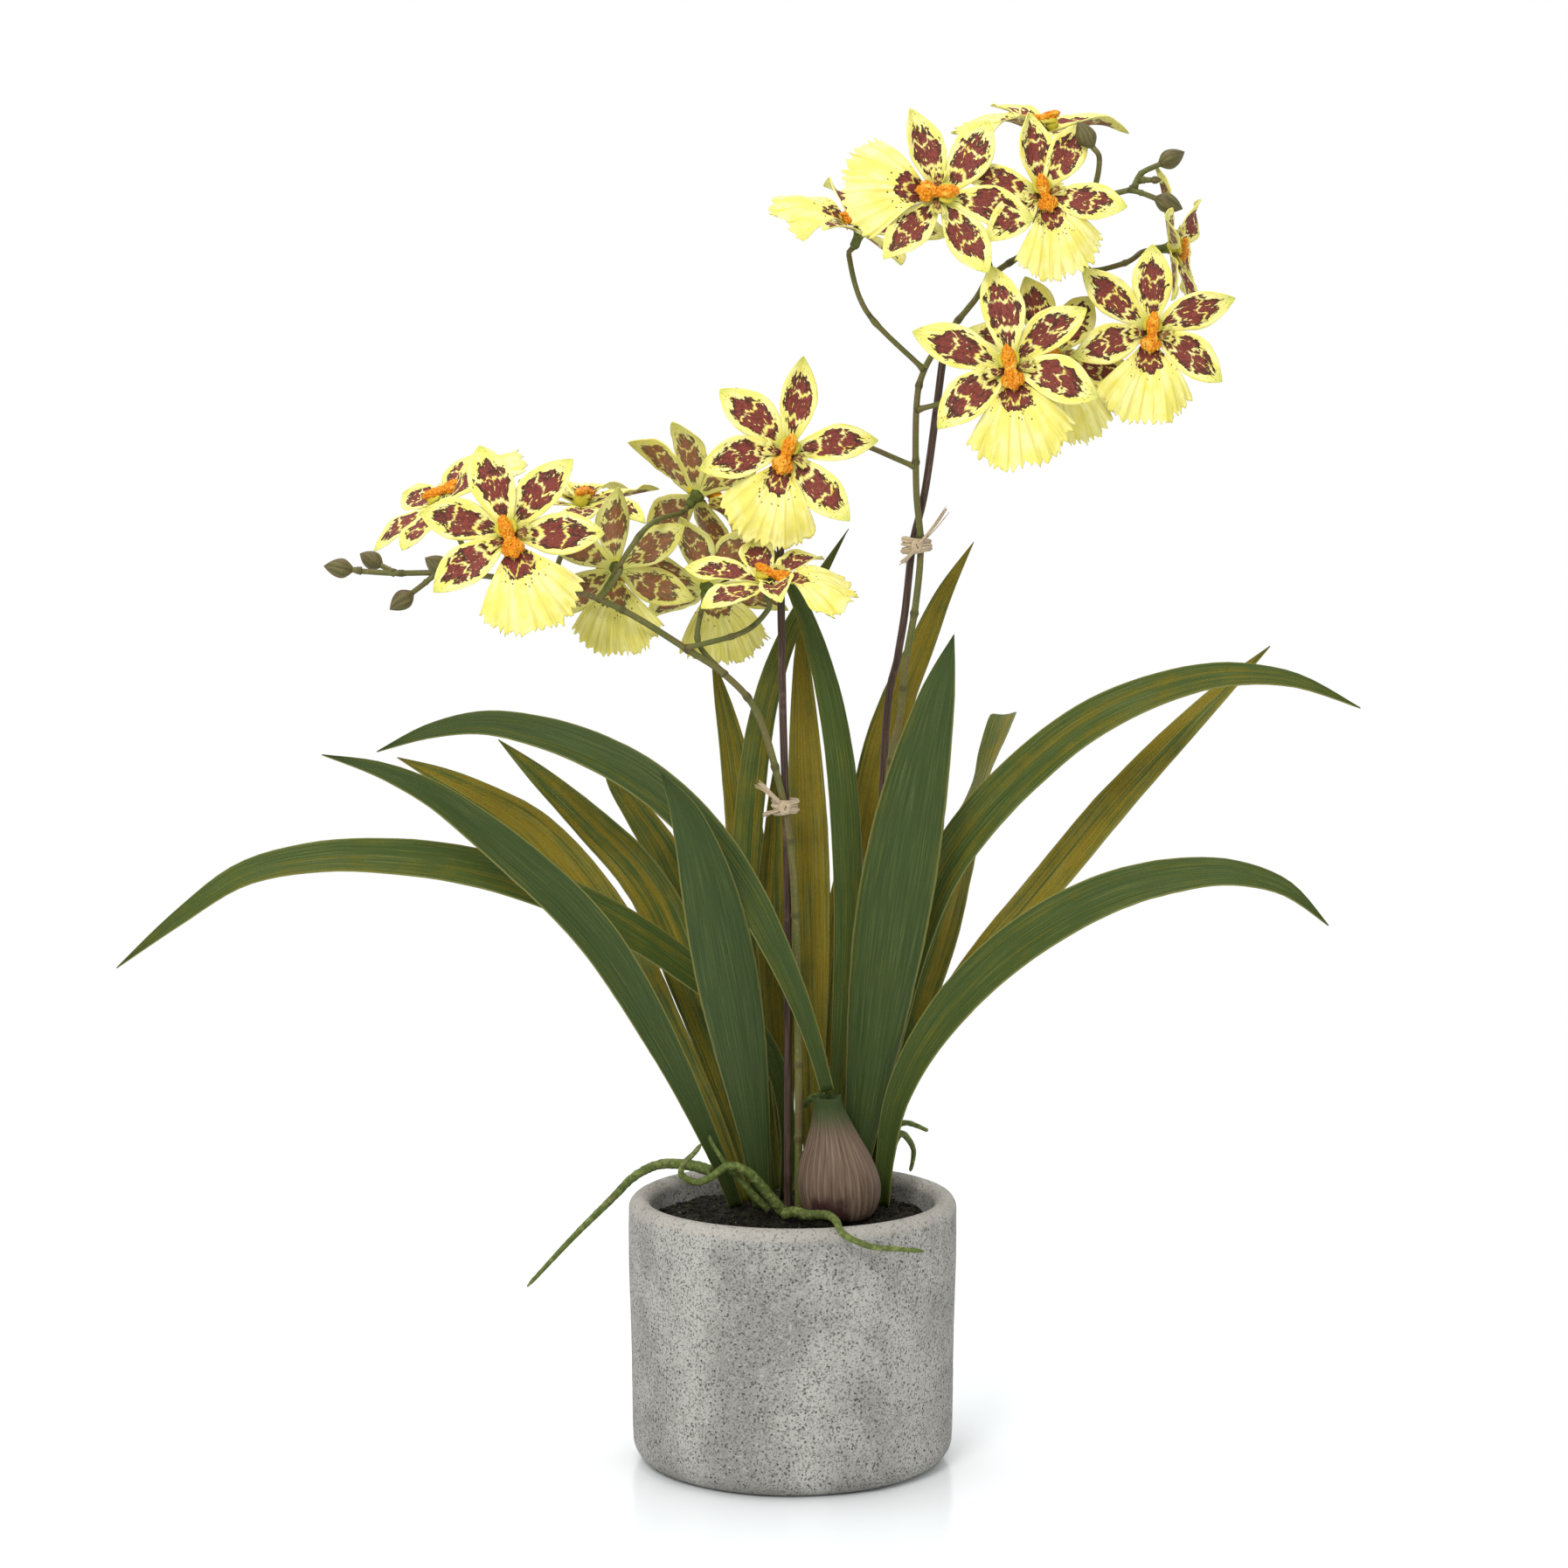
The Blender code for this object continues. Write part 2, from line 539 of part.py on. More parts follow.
def petal_stations(length, width, cup):
    """Distance out, half width, and height above the flower's plane along an oval petal."""
    shares = [(0.16, 0.30, 0.10), (0.38, 0.72, 0.55), (0.62, 1.0, 0.85), (0.84, 0.66, 1.0)]
    return [(out * length, wide * width / 2, high * cup) for out, wide, high in shares]


def lip_stations(length, width, cup):
    """The same for the fan-shaped lip, which ends in a wide ruffled edge."""
    shares = [(0.18, 0.28, 0.2), (0.40, 0.55, 0.65), (0.66, 0.95, 0.6), (0.90, 0.88, 0.1)]
    return [(out * length, wide * width / 2, high * cup) for out, wide, high in shares]


def add_flower(name, centre, facing, lip_way, size, look):
    """Five tepals and a lip round a short twelve-sided core, with the column in front and the socket behind."""
    front = Vector(facing).normalized()
    down = Vector(lip_way)
    down = (down - down.dot(front) * front).normalized()
    right = down.cross(front).normalized()
    frame = Matrix((right, -down, front)).transposed().to_4x4()
    frame.translation = Vector(centre) * MM
    shape = bmesh.new()
    columns = 12
    half = CORE_DEPTH / 2 * size
    rings = []
    for height in (-half, half):
        rings.append([shape.verts.new((CORE_RADIUS * size * math.cos(math.tau * (i - 4) / columns),
                                       CORE_RADIUS * size * math.sin(math.tau * (i - 4) / columns), height))
                      for i in range(columns)])
    back, fore = rings
    for petal in range(6):
        angle = math.radians(-90 + 60 * petal)
        out = Vector((math.cos(angle), math.sin(angle), 0))
        side = Vector((-math.sin(angle), math.cos(angle), 0))
        first = 2 * petal
        i, j, k = first, (first + 1) % columns, (first + 2) % columns
        root = [back[i], back[j], back[k], fore[k], fore[j], fore[i]]
        is_lip = petal == 0
        if is_lip:
            stations = lip_stations(LIP_LENGTH * size, LIP_WIDTH * size, 5 * MM)
            tip_out = LIP_LENGTH * size
            tip_high = -2 * MM
        else:
            cup = (5 if petal % 2 else 2) * MM
            stations = petal_stations(PETAL_LENGTH * size, PETAL_WIDTH * size, cup)
            tip_out = PETAL_LENGTH * size
            tip_high = 0.8 * cup
        grown = [root]
        thick = PETAL_THICKNESS / 2
        for distance, wide, high in stations:
            edge = high + (0.18 * wide if not is_lip else 0.1 * wide)
            grown.append([shape.verts.new(out * distance + side * across + Vector((0, 0, level)))
                          for across, level in ((-wide, edge - 0.6 * thick), (0, high - thick),
                                                (wide, edge - 0.6 * thick), (wide, edge + 0.6 * thick),
                                                (0, high + thick), (-wide, edge + 0.6 * thick))])
        loft(shape, grown)
        close_with_point(shape, grown[-1], out * tip_out + Vector((0, 0, tip_high)))
    grow_end(shape, fore, [(0.9, COLUMN_LENGTH * 0.35), (0.75, COLUMN_LENGTH * 0.8)], COLUMN_LENGTH, half, size)
    grow_end(shape, back, [(0.45, -SOCKET_LENGTH * 0.4), (0.4, -SOCKET_LENGTH)], None, -half, size)
    bmesh.ops.transform(shape, matrix=frame, verts=shape.verts)
    add_object(name, mesh_from(name, shape), look)


def grow_end(shape, ring, levels, tip, start, size):
    """The column or the socket: rings drawn in from the core's end, closed by a point or flat."""
    grown = [ring]
    for share, height in levels:
        grown.append([shape.verts.new((corner.co.x * share, corner.co.y * share, start + height * size))
                      for corner in ring])
    loft(shape, grown)
    if tip is None:
        shape.faces.new(grown[-1])
    else:
        close_with_point(shape, grown[-1], (0, 0, start + tip * size))


def add_flowers():
    look = material("petal_yellow", (0.85, 0.78, 0.28), 0.6)
    for name, (centre, facing, lip_way, size, *_) in FLOWERS.items():
        add_flower(name, centre, facing, lip_way, size, look)


clear_scene()
add_pot()
add_soil()
add_bulb()
add_leaves()
add_stakes()
add_spikes()
add_ties()
add_roots()
add_flowers()
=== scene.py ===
import bmesh
import bpy
import math
import random
from mathutils import Matrix, Vector, noise


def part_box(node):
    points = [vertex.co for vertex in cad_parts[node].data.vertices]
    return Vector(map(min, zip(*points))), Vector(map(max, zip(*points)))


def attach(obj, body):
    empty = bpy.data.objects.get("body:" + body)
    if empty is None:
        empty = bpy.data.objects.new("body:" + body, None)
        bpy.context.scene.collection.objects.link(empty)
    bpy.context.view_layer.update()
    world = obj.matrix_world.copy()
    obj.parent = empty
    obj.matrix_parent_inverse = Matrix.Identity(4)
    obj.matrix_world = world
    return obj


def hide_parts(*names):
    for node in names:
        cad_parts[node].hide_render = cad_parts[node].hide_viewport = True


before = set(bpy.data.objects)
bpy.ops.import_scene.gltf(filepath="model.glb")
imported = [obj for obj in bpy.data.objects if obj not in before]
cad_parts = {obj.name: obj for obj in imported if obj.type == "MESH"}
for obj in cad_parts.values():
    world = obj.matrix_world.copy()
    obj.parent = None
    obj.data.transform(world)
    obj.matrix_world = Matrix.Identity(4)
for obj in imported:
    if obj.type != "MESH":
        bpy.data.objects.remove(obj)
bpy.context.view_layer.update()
mm = 0.001
print("frame loaded")


class Wire:
    # one output socket, so that shader sums read as sums
    def __init__(self, paint, socket):
        self.paint = paint
        self.socket = socket

    def sum(self, operation, first, second=0.0):
        return self.paint.node("ShaderNodeMath", {"operation": operation}, {0: first, 1: second})

    def __add__(self, other):
        return self.sum("ADD", self, other)

    def __radd__(self, other):
        return self.sum("ADD", other, self)

    def __sub__(self, other):
        return self.sum("SUBTRACT", self, other)

    def __rsub__(self, other):
        return self.sum("SUBTRACT", other, self)

    def __mul__(self, other):
        return self.sum("MULTIPLY", self, other)

    def __rmul__(self, other):
        return self.sum("MULTIPLY", other, self)

    def __truediv__(self, other):
        return self.sum("DIVIDE", self, other)

    def __rtruediv__(self, other):
        return self.sum("DIVIDE", other, self)

    def __pow__(self, other):
        return self.sum("POWER", self, other)

    def __rpow__(self, other):
        return self.sum("POWER", other, self)

    def __abs__(self):
        return self.sum("ABSOLUTE", self)


class Paint:
    # one material and the nodes that make it
    def __init__(self, name, plain):
        self.material = bpy.data.materials.new(name)
        self.material.use_nodes = True
        self.tree = self.material.node_tree
        self.shader = self.tree.nodes["Principled BSDF"]
        for socket, value in plain.items():
            self.shader.inputs[socket].default_value = value

    def node(self, kind, settings=None, sockets=None, out=0):
        made = self.tree.nodes.new(kind)
        for key, value in (settings or {}).items():
            setattr(made, key, value)
        for key, value in (sockets or {}).items():
            if isinstance(value, Wire):
                self.tree.links.new(value.socket, made.inputs[key])
            else:
                made.inputs[key].default_value = value
        return Wire(self, made.outputs[out])

    def place(self, name):
        return self.node("ShaderNodeAttribute", {"attribute_name": name}, out=1)

    def number(self, name):
        return self.node("ShaderNodeAttribute", {"attribute_name": name}, out=2)

    def solid(self):
        return self.node("ShaderNodeTexCoord", out=3)

    def part(self, vector, which):
        return self.node("ShaderNodeSeparateXYZ", None, {0: vector}, out="XYZ".index(which))

    def stretch(self, vector, factors):
        return self.node("ShaderNodeVectorMath", {"operation": "MULTIPLY"}, {0: vector, 1: factors})

    def grain(self, vector, scale, detail=3.0, roughness=0.55, distortion=0.0, out=0):
        return self.node("ShaderNodeTexNoise", None,
                         {"Vector": vector, "Scale": scale, "Detail": detail, "Roughness": roughness,
                          "Distortion": distortion}, out)

    def cells(self, vector, scale, feature="F1", randomness=1.0):
        return self.node("ShaderNodeTexVoronoi", {"feature": feature},
                         {"Vector": vector, "Scale": scale, "Randomness": randomness})

    def ease(self, value, low, high, start=0.0, end=1.0):
        return self.node("ShaderNodeMapRange", {"interpolation_type": "SMOOTHSTEP"},
                         {0: value, 1: low, 2: high, 3: start, 4: end})

    def blend(self, share, first, second, way="MIX"):
        first = (*first, 1) if isinstance(first, tuple) else first
        second = (*second, 1) if isinstance(second, tuple) else second
        return self.node("ShaderNodeMix", {"data_type": "RGBA", "blend_type": way},
                         {0: share, 6: first, 7: second}, out=2)

    def colour(self, wire):
        self.tree.links.new(wire.socket, self.shader.inputs["Base Color"])

    def rough(self, wire):
        self.tree.links.new(wire.socket, self.shader.inputs["Roughness"])

    def relief(self, height, distance, strength=1.0):
        bumped = self.node("ShaderNodeBump", None,
                           {"Height": height, "Distance": distance, "Strength": strength})
        self.tree.links.new(bumped.socket, self.shader.inputs["Normal"])


def inMetres(points):
    return [Vector(point) * mm for point in points]


def curveStep(a, b, c, d, t):
    # the smooth curve between b and c, a share t of the way
    return 0.5 * (2 * b + (c - a) * t + (2 * a - 5 * b + 4 * c - d) * t ** 2
                  + (3 * b - a - 3 * c + d) * t ** 3)


def smoothRoute(points, count):
    # evenly spaced points on a smooth curve through the given ones
    ends = [2 * points[0] - points[1], *points, 2 * points[-1] - points[-2]]
    fine = []
    for a, b, c, d in zip(ends, ends[1:], ends[2:], ends[3:]):
        for step in range(16):
            fine.append(curveStep(a, b, c, d, step / 16))
    fine.append(points[-1])
    reach = [0.0]
    for a, b in zip(fine, fine[1:]):
        reach.append(reach[-1] + (b - a).length)
    route = []
    i = 0
    for k in range(count):
        wanted = reach[-1] * k / (count - 1)
        while i < len(fine) - 2 and reach[i + 1] < wanted:
            i += 1
        span = max(reach[i + 1] - reach[i], 1e-9)
        route.append(fine[i].lerp(fine[i + 1], min(1, (wanted - reach[i]) / span)))
    return route


def ways(route):
    padded = [route[0], *route, route[-1]]
    return [(after - before).normalized() for before, after in zip(padded, padded[2:])]


def gridFaces(rows, columns, start=0, wrap=False):
    faces = []
    for row in range(rows - 1):
        for column in range(columns if wrap else columns - 1):
            i = start + row * columns + column
            j = start + row * columns + (column + 1) % columns
            faces.append((i, j, j + columns, i + columns))
    return faces


def newPiece(name, points, faces, paints, stands=(), places=None, paintOf=None):
    # a smooth mesh piece on the pot's body, with its per-point places for the paint
    mesh = bpy.data.meshes.new(name)
    mesh.from_pydata([tuple(point) for point in points], [], faces)
    for paint in paints:
        mesh.materials.append(paint.material)
    if paintOf:
        mesh.polygons.foreach_set("material_index", paintOf)
    for key, values in (places or {}).items():
        if isinstance(values[0], (int, float)):
            mesh.attributes.new(key, "FLOAT", "POINT").data.foreach_set("value", values)
        else:
            flat = [number for value in values for number in value]
            mesh.attributes.new(key, "FLOAT_VECTOR", "POINT").data.foreach_set("vector", flat)
    mesh.shade_smooth()
    piece = bpy.data.objects.new(name, mesh)
    bpy.context.scene.collection.objects.link(piece)
    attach(piece, "root")
    if stands:
        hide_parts(*stands)
    return piece


def thicken(piece, thickness):
    # the back takes the paint after the face's own
    shell = piece.modifiers.new("thickness", "SOLIDIFY")
    shell.thickness = thickness
    shell.offset = -1.0
    shell.material_offset = 1


def wobble(a, b=0.0, c=0.0):
    # smooth noise between about -1 and 1
    return noise.noise(Vector((a, b, c)))


class Heap:
    # points, faces and places gathered for one mesh
    def __init__(self):
        self.points = []
        self.faces = []
        self.places = []
        self.paintOf = []

    def grid(self, rows, places, wrap=False, paint=0):
        start = len(self.points)
        columns = len(rows[0])
        for row, placeRow in zip(rows, places):
            self.points += row
            self.places += placeRow
        added = gridFaces(len(rows), columns, start, wrap)
        self.faces += added
        self.paintOf += [paint] * len(added)
        return start

    def cap(self, ring, paint=0):
        self.faces.append(tuple(ring))
        self.paintOf.append(paint)


def sweep(heap, route, radiusAt, sides, seed=0.0, paint=0, capped=True):
    # a tube along a route; its places are the turn, the distance along in mm and a seed
    directions = ways(route)
    across = directions[0].orthogonal().normalized()
    rows = []
    places = []
    reach = 0.0
    for k, (centre, way) in enumerate(zip(route, directions)):
        across = (across - across.dot(way) * way).normalized()
        other = way.cross(across)
        if k:
            reach += (centre - route[k - 1]).length / mm
        share = k / (len(route) - 1)
        row = []
        for i in range(sides):
            turn = math.tau * i / sides
            size = radiusAt(share, reach, turn)
            row.append(centre + size * (math.cos(turn) * across + math.sin(turn) * other))
        rows.append(row)
        places.append([(math.tau * i / sides, reach, seed) for i in range(sides)])
    start = heap.grid(rows, places, wrap=True, paint=paint)
    if capped:
        last = start + sides * (len(route) - 1)
        heap.cap(range(start + sides - 1, start - 1, -1), paint)
        heap.cap(range(last, last + sides), paint)


# pot
pot = {
    "sides": 160,
    "wall": 9 * mm,
    "foot": 56.5 * mm,
    "corner": 10 * mm,
    "inset": 1.6 * mm,      # how much narrower the lower wall is than the rim
    "unevenness": 0.35 * mm,
    "rimLevel": 90 * mm,    # above this the bumps also lift the rim
    "rimBand": (103.5 * mm, 107.5 * mm),
    "light": (0.395, 0.388, 0.360),
    "mid": (0.262, 0.256, 0.236),
    "dark": (0.055, 0.052, 0.046),
    "rim": (0.40, 0.375, 0.335),
}


def cementPaint():
    paint = Paint("cement", {"Specular IOR Level": 0.1})
    here = paint.solid()
    clouds = paint.grain(here, 34, 4, 0.65)
    bands = paint.grain(paint.stretch(here, (30, 30, 9)), 1, 2, 0.5)
    fine = paint.grain(here, 1050, 3, 0.8)
    coarse = paint.grain(here, 520, 3, 0.75)
    sand = paint.cells(here, 900)
    pits = paint.cells(here, 620)
    pitMask = paint.ease(pits, 0.14, 0.34, 1, 0) * paint.ease(paint.grain(here, 260, 2), 0.42, 0.56)
    speckle = paint.ease(fine, 0.50, 0.60) * 0.85
    base = paint.blend(paint.ease(clouds * 0.6 + bands * 0.4, 0.40, 0.62), pot["mid"], pot["light"])
    base = paint.blend(speckle, base, (0.105, 0.100, 0.088))
    base = paint.blend(paint.ease(coarse, 0.56, 0.70) * 0.55, base, (0.50, 0.485, 0.445))
    base = paint.blend(pitMask * 0.85, base, pot["dark"])
    rim = paint.ease(paint.part(here, "Z"), *pot["rimBand"])
    base = paint.blend(rim * 0.55, base, pot["rim"])
    paint.colour(base)
    paint.rough(paint.ease(fine, 0.3, 0.7, 0.78, 0.95))
    paint.relief(fine * 0.5 + sand * 0.35 - pitMask * 1.4 + coarse * 0.4, 0.5 * mm, 0.8)
    return paint


def turnedArc(middle, height, size, first, last, steps):
    found = []
    for step in range(steps + 1):
        angle = math.radians(first + (last - first) * step / steps)
        found.append((middle + size * math.cos(angle), height + size * math.sin(angle)))
    return found


def makePot():
    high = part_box("pot")[1]
    radius, tall = high.x, high.z
    lip = pot["wall"] / 2
    inner = radius - pot["wall"]
    corner = pot["corner"]
    profile = [(pot["foot"] * share, 0.0) for share in (0.0, 0.5, 0.94)]
    arc = turnedArc(radius - pot["inset"] - corner, corner, corner, -90, 0, 14)
    profile += [(pot["foot"] + 0.1 * mm, 0.2 * mm)] + arc[2:]
    for step in range(1, 26):
        share = step / 25
        profile.append((radius - pot["inset"] * (1 - share) ** 1.3, corner + (tall - lip - corner) * share))
    profile += turnedArc(radius - lip, tall - lip, lip, 0, 180, 16)[1:]
    for step in range(1, 9):
        profile.append((inner - 0.15 * mm * step, tall - lip - 1.6 * mm * step))
    rows = []
    for level, (size, height) in enumerate(profile):
        row = []
        for side in range(pot["sides"]):
            angle = math.tau * side / pot["sides"]
            bump = 0.0
            if size > pot["foot"]:
                spot = Vector((math.cos(angle), math.sin(angle), height * 14)) * 2.2
                bump = pot["unevenness"] * (noise.noise(spot) - 0.3)
                bump += 0.12 * mm * noise.noise(spot * 7)
            row.append(Vector(((size + bump) * math.cos(angle), (size + bump) * math.sin(angle),
                               height + (bump * 0.4 if height > pot["rimLevel"] else 0))))
        rows.append(row)
    heap = Heap()
    heap.grid(rows, [[(0, 0, 0)] * pot["sides"]] * len(rows), wrap=True)
    newPiece("potShell", heap.points, heap.faces, [cementPaint()], ["pot"])


makePot()
print("pot made")

# soil
soil = {
    "rings": 70,
    "sides": 150,
    "lumps": 1.5 * mm,
    "crumbs": 1500,
    "crumbSize": (0.5 * mm, 1.9 * mm),
    "dark": (0.006, 0.0055, 0.004),
    "brown": (0.045, 0.034, 0.02),
    "moss": (0.05, 0.06, 0.015),
}


def soilPaint():
    paint = Paint("peat", {"Specular IOR Level": 0.15})
    here = paint.solid()
    coarse = paint.grain(here, 240, 4, 0.7)
    fine = paint.grain(here, 900, 3, 0.7)
    base = paint.blend(paint.ease(fine, 0.45, 0.7), soil["dark"], soil["brown"])
    base = paint.blend(paint.ease(coarse, 0.56, 0.68) * 0.7, base, soil["moss"])
    base = paint.blend(paint.ease(paint.grain(here, 500, 2), 0.66, 0.74), base, (0.13, 0.12, 0.09))
    paint.colour(base)
    paint.rough(paint.ease(coarse, 0.3, 0.7, 0.7, 0.95))
    paint.relief(fine + coarse, 0.8 * mm, 1.0)
    return paint


def soilHeight(x, y, top, radius):
    spot = Vector((x, y, 0)) * 90
    lumps = noise.noise(spot) + 0.6 * noise.noise(spot * 2.6) + 0.35 * noise.noise(spot * 6)
    far = math.hypot(x, y) / radius
    return top - 1.2 * mm + soil["lumps"] * lumps + 1.2 * mm * (1 - far) - 1.5 * mm * max(0, far - 0.9) * 10


def makeSoil():
    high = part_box("soil")[1]
    radius, top = high.x + 0.8 * mm, high.z
    paint = soilPaint()
    rows = []
    for ring in range(soil["rings"]):
        size = radius * (ring / (soil["rings"] - 1)) ** 0.8
        row = []
        for side in range(soil["sides"]):
            angle = math.tau * side / soil["sides"]
            x, y = size * math.cos(angle), size * math.sin(angle)
            row.append(Vector((x, y, soilHeight(x, y, top, radius))))
        rows.append(row)
    rows.append([Vector((point.x, point.y, point.z - 6 * mm)) for point in rows[-1]])
    heap = Heap()
    heap.grid(rows, [[(0, 0, 0)] * soil["sides"]] * len(rows), wrap=True)
    dice = random.Random(11)
    for _ in range(soil["crumbs"]):
        size = dice.uniform(*soil["crumbSize"]) * dice.uniform(0.5, 1.0)
        away = (radius - size * 1.5) * math.sqrt(dice.random())
        angle = dice.uniform(0, math.tau)
        x, y = away * math.cos(angle), away * math.sin(angle)
        centre = Vector((x, y, soilHeight(x, y, top, radius) + size * 0.2))
        turn = Matrix.Rotation(dice.uniform(0, math.tau), 3, "Z")
        turn = turn @ Matrix.Rotation(dice.uniform(-0.8, 0.8), 3, "X")
        long = dice.uniform(1.0, 2.8)
        start = len(heap.points)
        corners = [(x, y, z) for z in (-1, 1) for x, y in ((-1, -1), (1, -1), (1, 1), (-1, 1))]
        for corner in corners:
            offset = Vector((corner[0] * long, corner[1] * 0.8, corner[2] * 0.5)) * size * 0.5
            heap.points.append(centre + turn @ (offset * dice.uniform(0.6, 1.1)))
            heap.places.append((0, 0, 0))
        for face in ((0, 3, 2, 1), (4, 5, 6, 7), (0, 1, 5, 4), (1, 2, 6, 5), (2, 3, 7, 6), (3, 0, 4, 7)):
            heap.faces.append(tuple(start + i for i in face))
    piece = newPiece("pottingSoil", heap.points, heap.faces, [paint], ["soil"])
    piece.data.set_sharp_from_angle(angle=math.radians(50))


makeSoil()
print("soil made")

# bulb
bulb = {
    "sides": 144,
    "rows": 70,
    "ridges": 30,
    "ridgeHeight": 0.35 * mm,
    "lean": 6 * mm,
    "sunk": 1.5 * mm,
    "torn": 0.93,           # the share of the height where the neck's rim starts to tear
    # the radius and the height as shares of the bulb's own
    "outline": [(0.42, 0.0), (0.70, 0.035), (0.86, 0.09), (0.965, 0.18), (1.0, 0.27), (0.985, 0.36),
                (0.90, 0.47), (0.76, 0.58), (0.62, 0.68), (0.50, 0.77), (0.405, 0.86), (0.345, 0.94),
                (0.325, 1.0)],
    "light": (0.185, 0.128, 0.088),
    "mid": (0.085, 0.053, 0.036),
    "purple": (0.045, 0.018, 0.016),
    "neck": (0.040, 0.062, 0.016),
}


def bulbPaint():
    paint = Paint("bulbSkin", {"Specular IOR Level": 0.18})
    spot = paint.place("bulbPlace")   # turn, height share, ridge
    height = paint.part(spot, "Y")
    ridge = paint.part(spot, "Z")
    turn = paint.part(spot, "X")
    streaks = paint.grain(paint.stretch(spot, (26, 2.2, 0)), 1, 3, 0.6)
    fine = paint.grain(paint.stretch(spot, (90, 5, 0)), 1, 3, 0.6)
    clouds = paint.grain(paint.solid(), 90, 3, 0.6)
    base = paint.blend(paint.ease(streaks * 0.6 + fine * 0.4, 0.36, 0.62), bulb["mid"], bulb["light"])
    base = paint.blend(paint.ease(ridge, 0.35, 1.0) * 0.35, base, (0.30, 0.23, 0.17))
    # a dark stain low on the front
    front = paint.ease(abs(turn - 4.45), 0.25, 1.0, 1, 0)
    stain = front * paint.ease(height, 0.06, 0.46, 1, 0)
    stained = paint.ease(stain + clouds * 0.9 + streaks * 0.5, 1.12, 1.5) * 0.95
    base = paint.blend(stained, base, bulb["purple"])
    base = paint.blend(paint.ease(height + streaks * 0.28, 0.80, 1.08), base, bulb["neck"])
    paint.colour(base)
    paint.rough(paint.ease(fine, 0.3, 0.7, 0.45, 0.7))
    paint.relief(fine * 0.6 + streaks * 0.4, 0.4 * mm, 0.9)
    return paint


def makeBulb():
    low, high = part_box("bulb")
    radius = (high.y - low.y) / 2
    middleY = (low.y + high.y) / 2
    middleX = high.x - radius
    tall = high.z - low.z
    curve = smoothRoute([Vector((size, 0, level)) for size, level in bulb["outline"]], bulb["rows"])
    rows = []
    places = []
    for point in curve:
        size, level = point.x * radius, point.z
        leanX = middleX - bulb["lean"] * level ** 2
        tear = max(0, level - bulb["torn"]) * 14
        row = []
        placeRow = []
        for side in range(bulb["sides"]):
            angle = math.tau * side / bulb["sides"]
            wave = math.sin(angle * bulb["ridges"] + 2.5 * wobble(angle * 1.3, level * 2) + 3 * level)
            wave += 0.6 * math.sin(angle * 47 + 4 * wobble(angle * 2, level * 3, 4))
            rise = bulb["ridgeHeight"] * wave * (0.35 + 0.65 * math.sin(math.pi * min(1, level + 0.15)))
            bumpy = 0.5 * mm * wobble(math.cos(angle) * 2, math.sin(angle) * 2, level * 3)
            rag = tear * (1.1 * mm * wobble(angle * 2.3, 5) + 0.5 * mm * wobble(angle * 8, 9))
            flare = 1 + 0.12 * tear
            out = size * flare + rise + bumpy
            row.append(Vector((leanX + out * math.cos(angle), middleY + out * math.sin(angle),
                               low.z - bulb["sunk"] + (tall + bulb["sunk"]) * level + rag)))
            placeRow.append((angle, level, wave))
        rows.append(row)
        places.append(placeRow)
    # the rim turns in and runs down inside the neck
    for step in range(1, 7):
        row = [(Vector((leanX, middleY, point.z)) + (Vector((point.x - leanX, point.y - middleY, 0))
                * (1 - 0.10 * min(step, 2)))) - Vector((0, 0, 0.9 * mm * max(0, step - 1)))
               for point in rows[bulb["rows"] - 1]]
        rows.append(row)
        places.append([(place[0], 1.0, 0.2) for place in places[-1]])
    heap = Heap()
    heap.grid(rows, places, wrap=True)
    last = len(heap.points) - bulb["sides"]
    heap.cap(range(last, last + bulb["sides"]))
    newPiece("bulbSkin", heap.points, heap.faces, [bulbPaint()], ["bulb"],
             {"bulbPlace": heap.places})


makeBulb()
print("bulb made")

# leaves
leaf = {
    "stations": 64,
    "columns": 13,
    "thickness": 0.6 * mm,
    "pleat": 0.10 * mm,
    "ragged": 0.02,
    "green": (0.046, 0.074, 0.009),
    "blueGreen": (0.033, 0.056, 0.014),
    "gold": (0.215, 0.150, 0.004),
    "olive": (0.100, 0.104, 0.007),
    # painted highlight colour for light streaks on the leaf faces
    "sunHighlight": (0.27, 0.27, 0.07),
    "edge": (0.24, 0.23, 0.06),
    "under": (0.27, 0.31, 0.22),
    # these three leaves get the strongest back paleness: partly the backs' own paler colour, partly a painted
    # reflection
    "paleReflectingBacks": ("leaf_right_folded", "leaf_back_droop", "leaf_right_low"),
    "palestWithReflection": 0.85,
    "lessPale": 0.35,
}
# how gold each leaf is, how much its edges wave in mm, and its seed
leafLooks = {
    "leaf_far_left": (0.45, 0.5, 1), "leaf_left_front": (0.12, 0.6, 2), "leaf_left_gold": (0.95, 0.6, 3),
    "leaf_left_mid": (0.8, 0.5, 4), "leaf_left_back": (0.7, 0.5, 5), "leaf_front_broad": (0.0, 0.5, 6),
    "leaf_bulb_arch": (0.15, 0.4, 7), "leaf_centre_right_tip": (0.6, 0.3, 8),
    "leaf_centre_left_back": (0.8, 0.4, 9), "leaf_narrow_back": (0.85, 0.3, 10),
    "leaf_centre_tall": (1.0, 0.4, 11), "leaf_centre_left_tip": (0.35, 0.3, 12),
    "leaf_centre_back": (1.0, 0.3, 13), "leaf_back_droop": (0.5, 0.5, 14), "leaf_right_gold": (1.0, 0.4, 15),
    "leaf_right_broad": (0.12, 0.5, 16), "leaf_right_folded": (0.75, 0.9, 17),
    "leaf_right_arch": (0.5, 0.6, 18), "leaf_right_twist": (0.9, 0.5, 19), "leaf_right_low": (0.3, 0.6, 20),
}


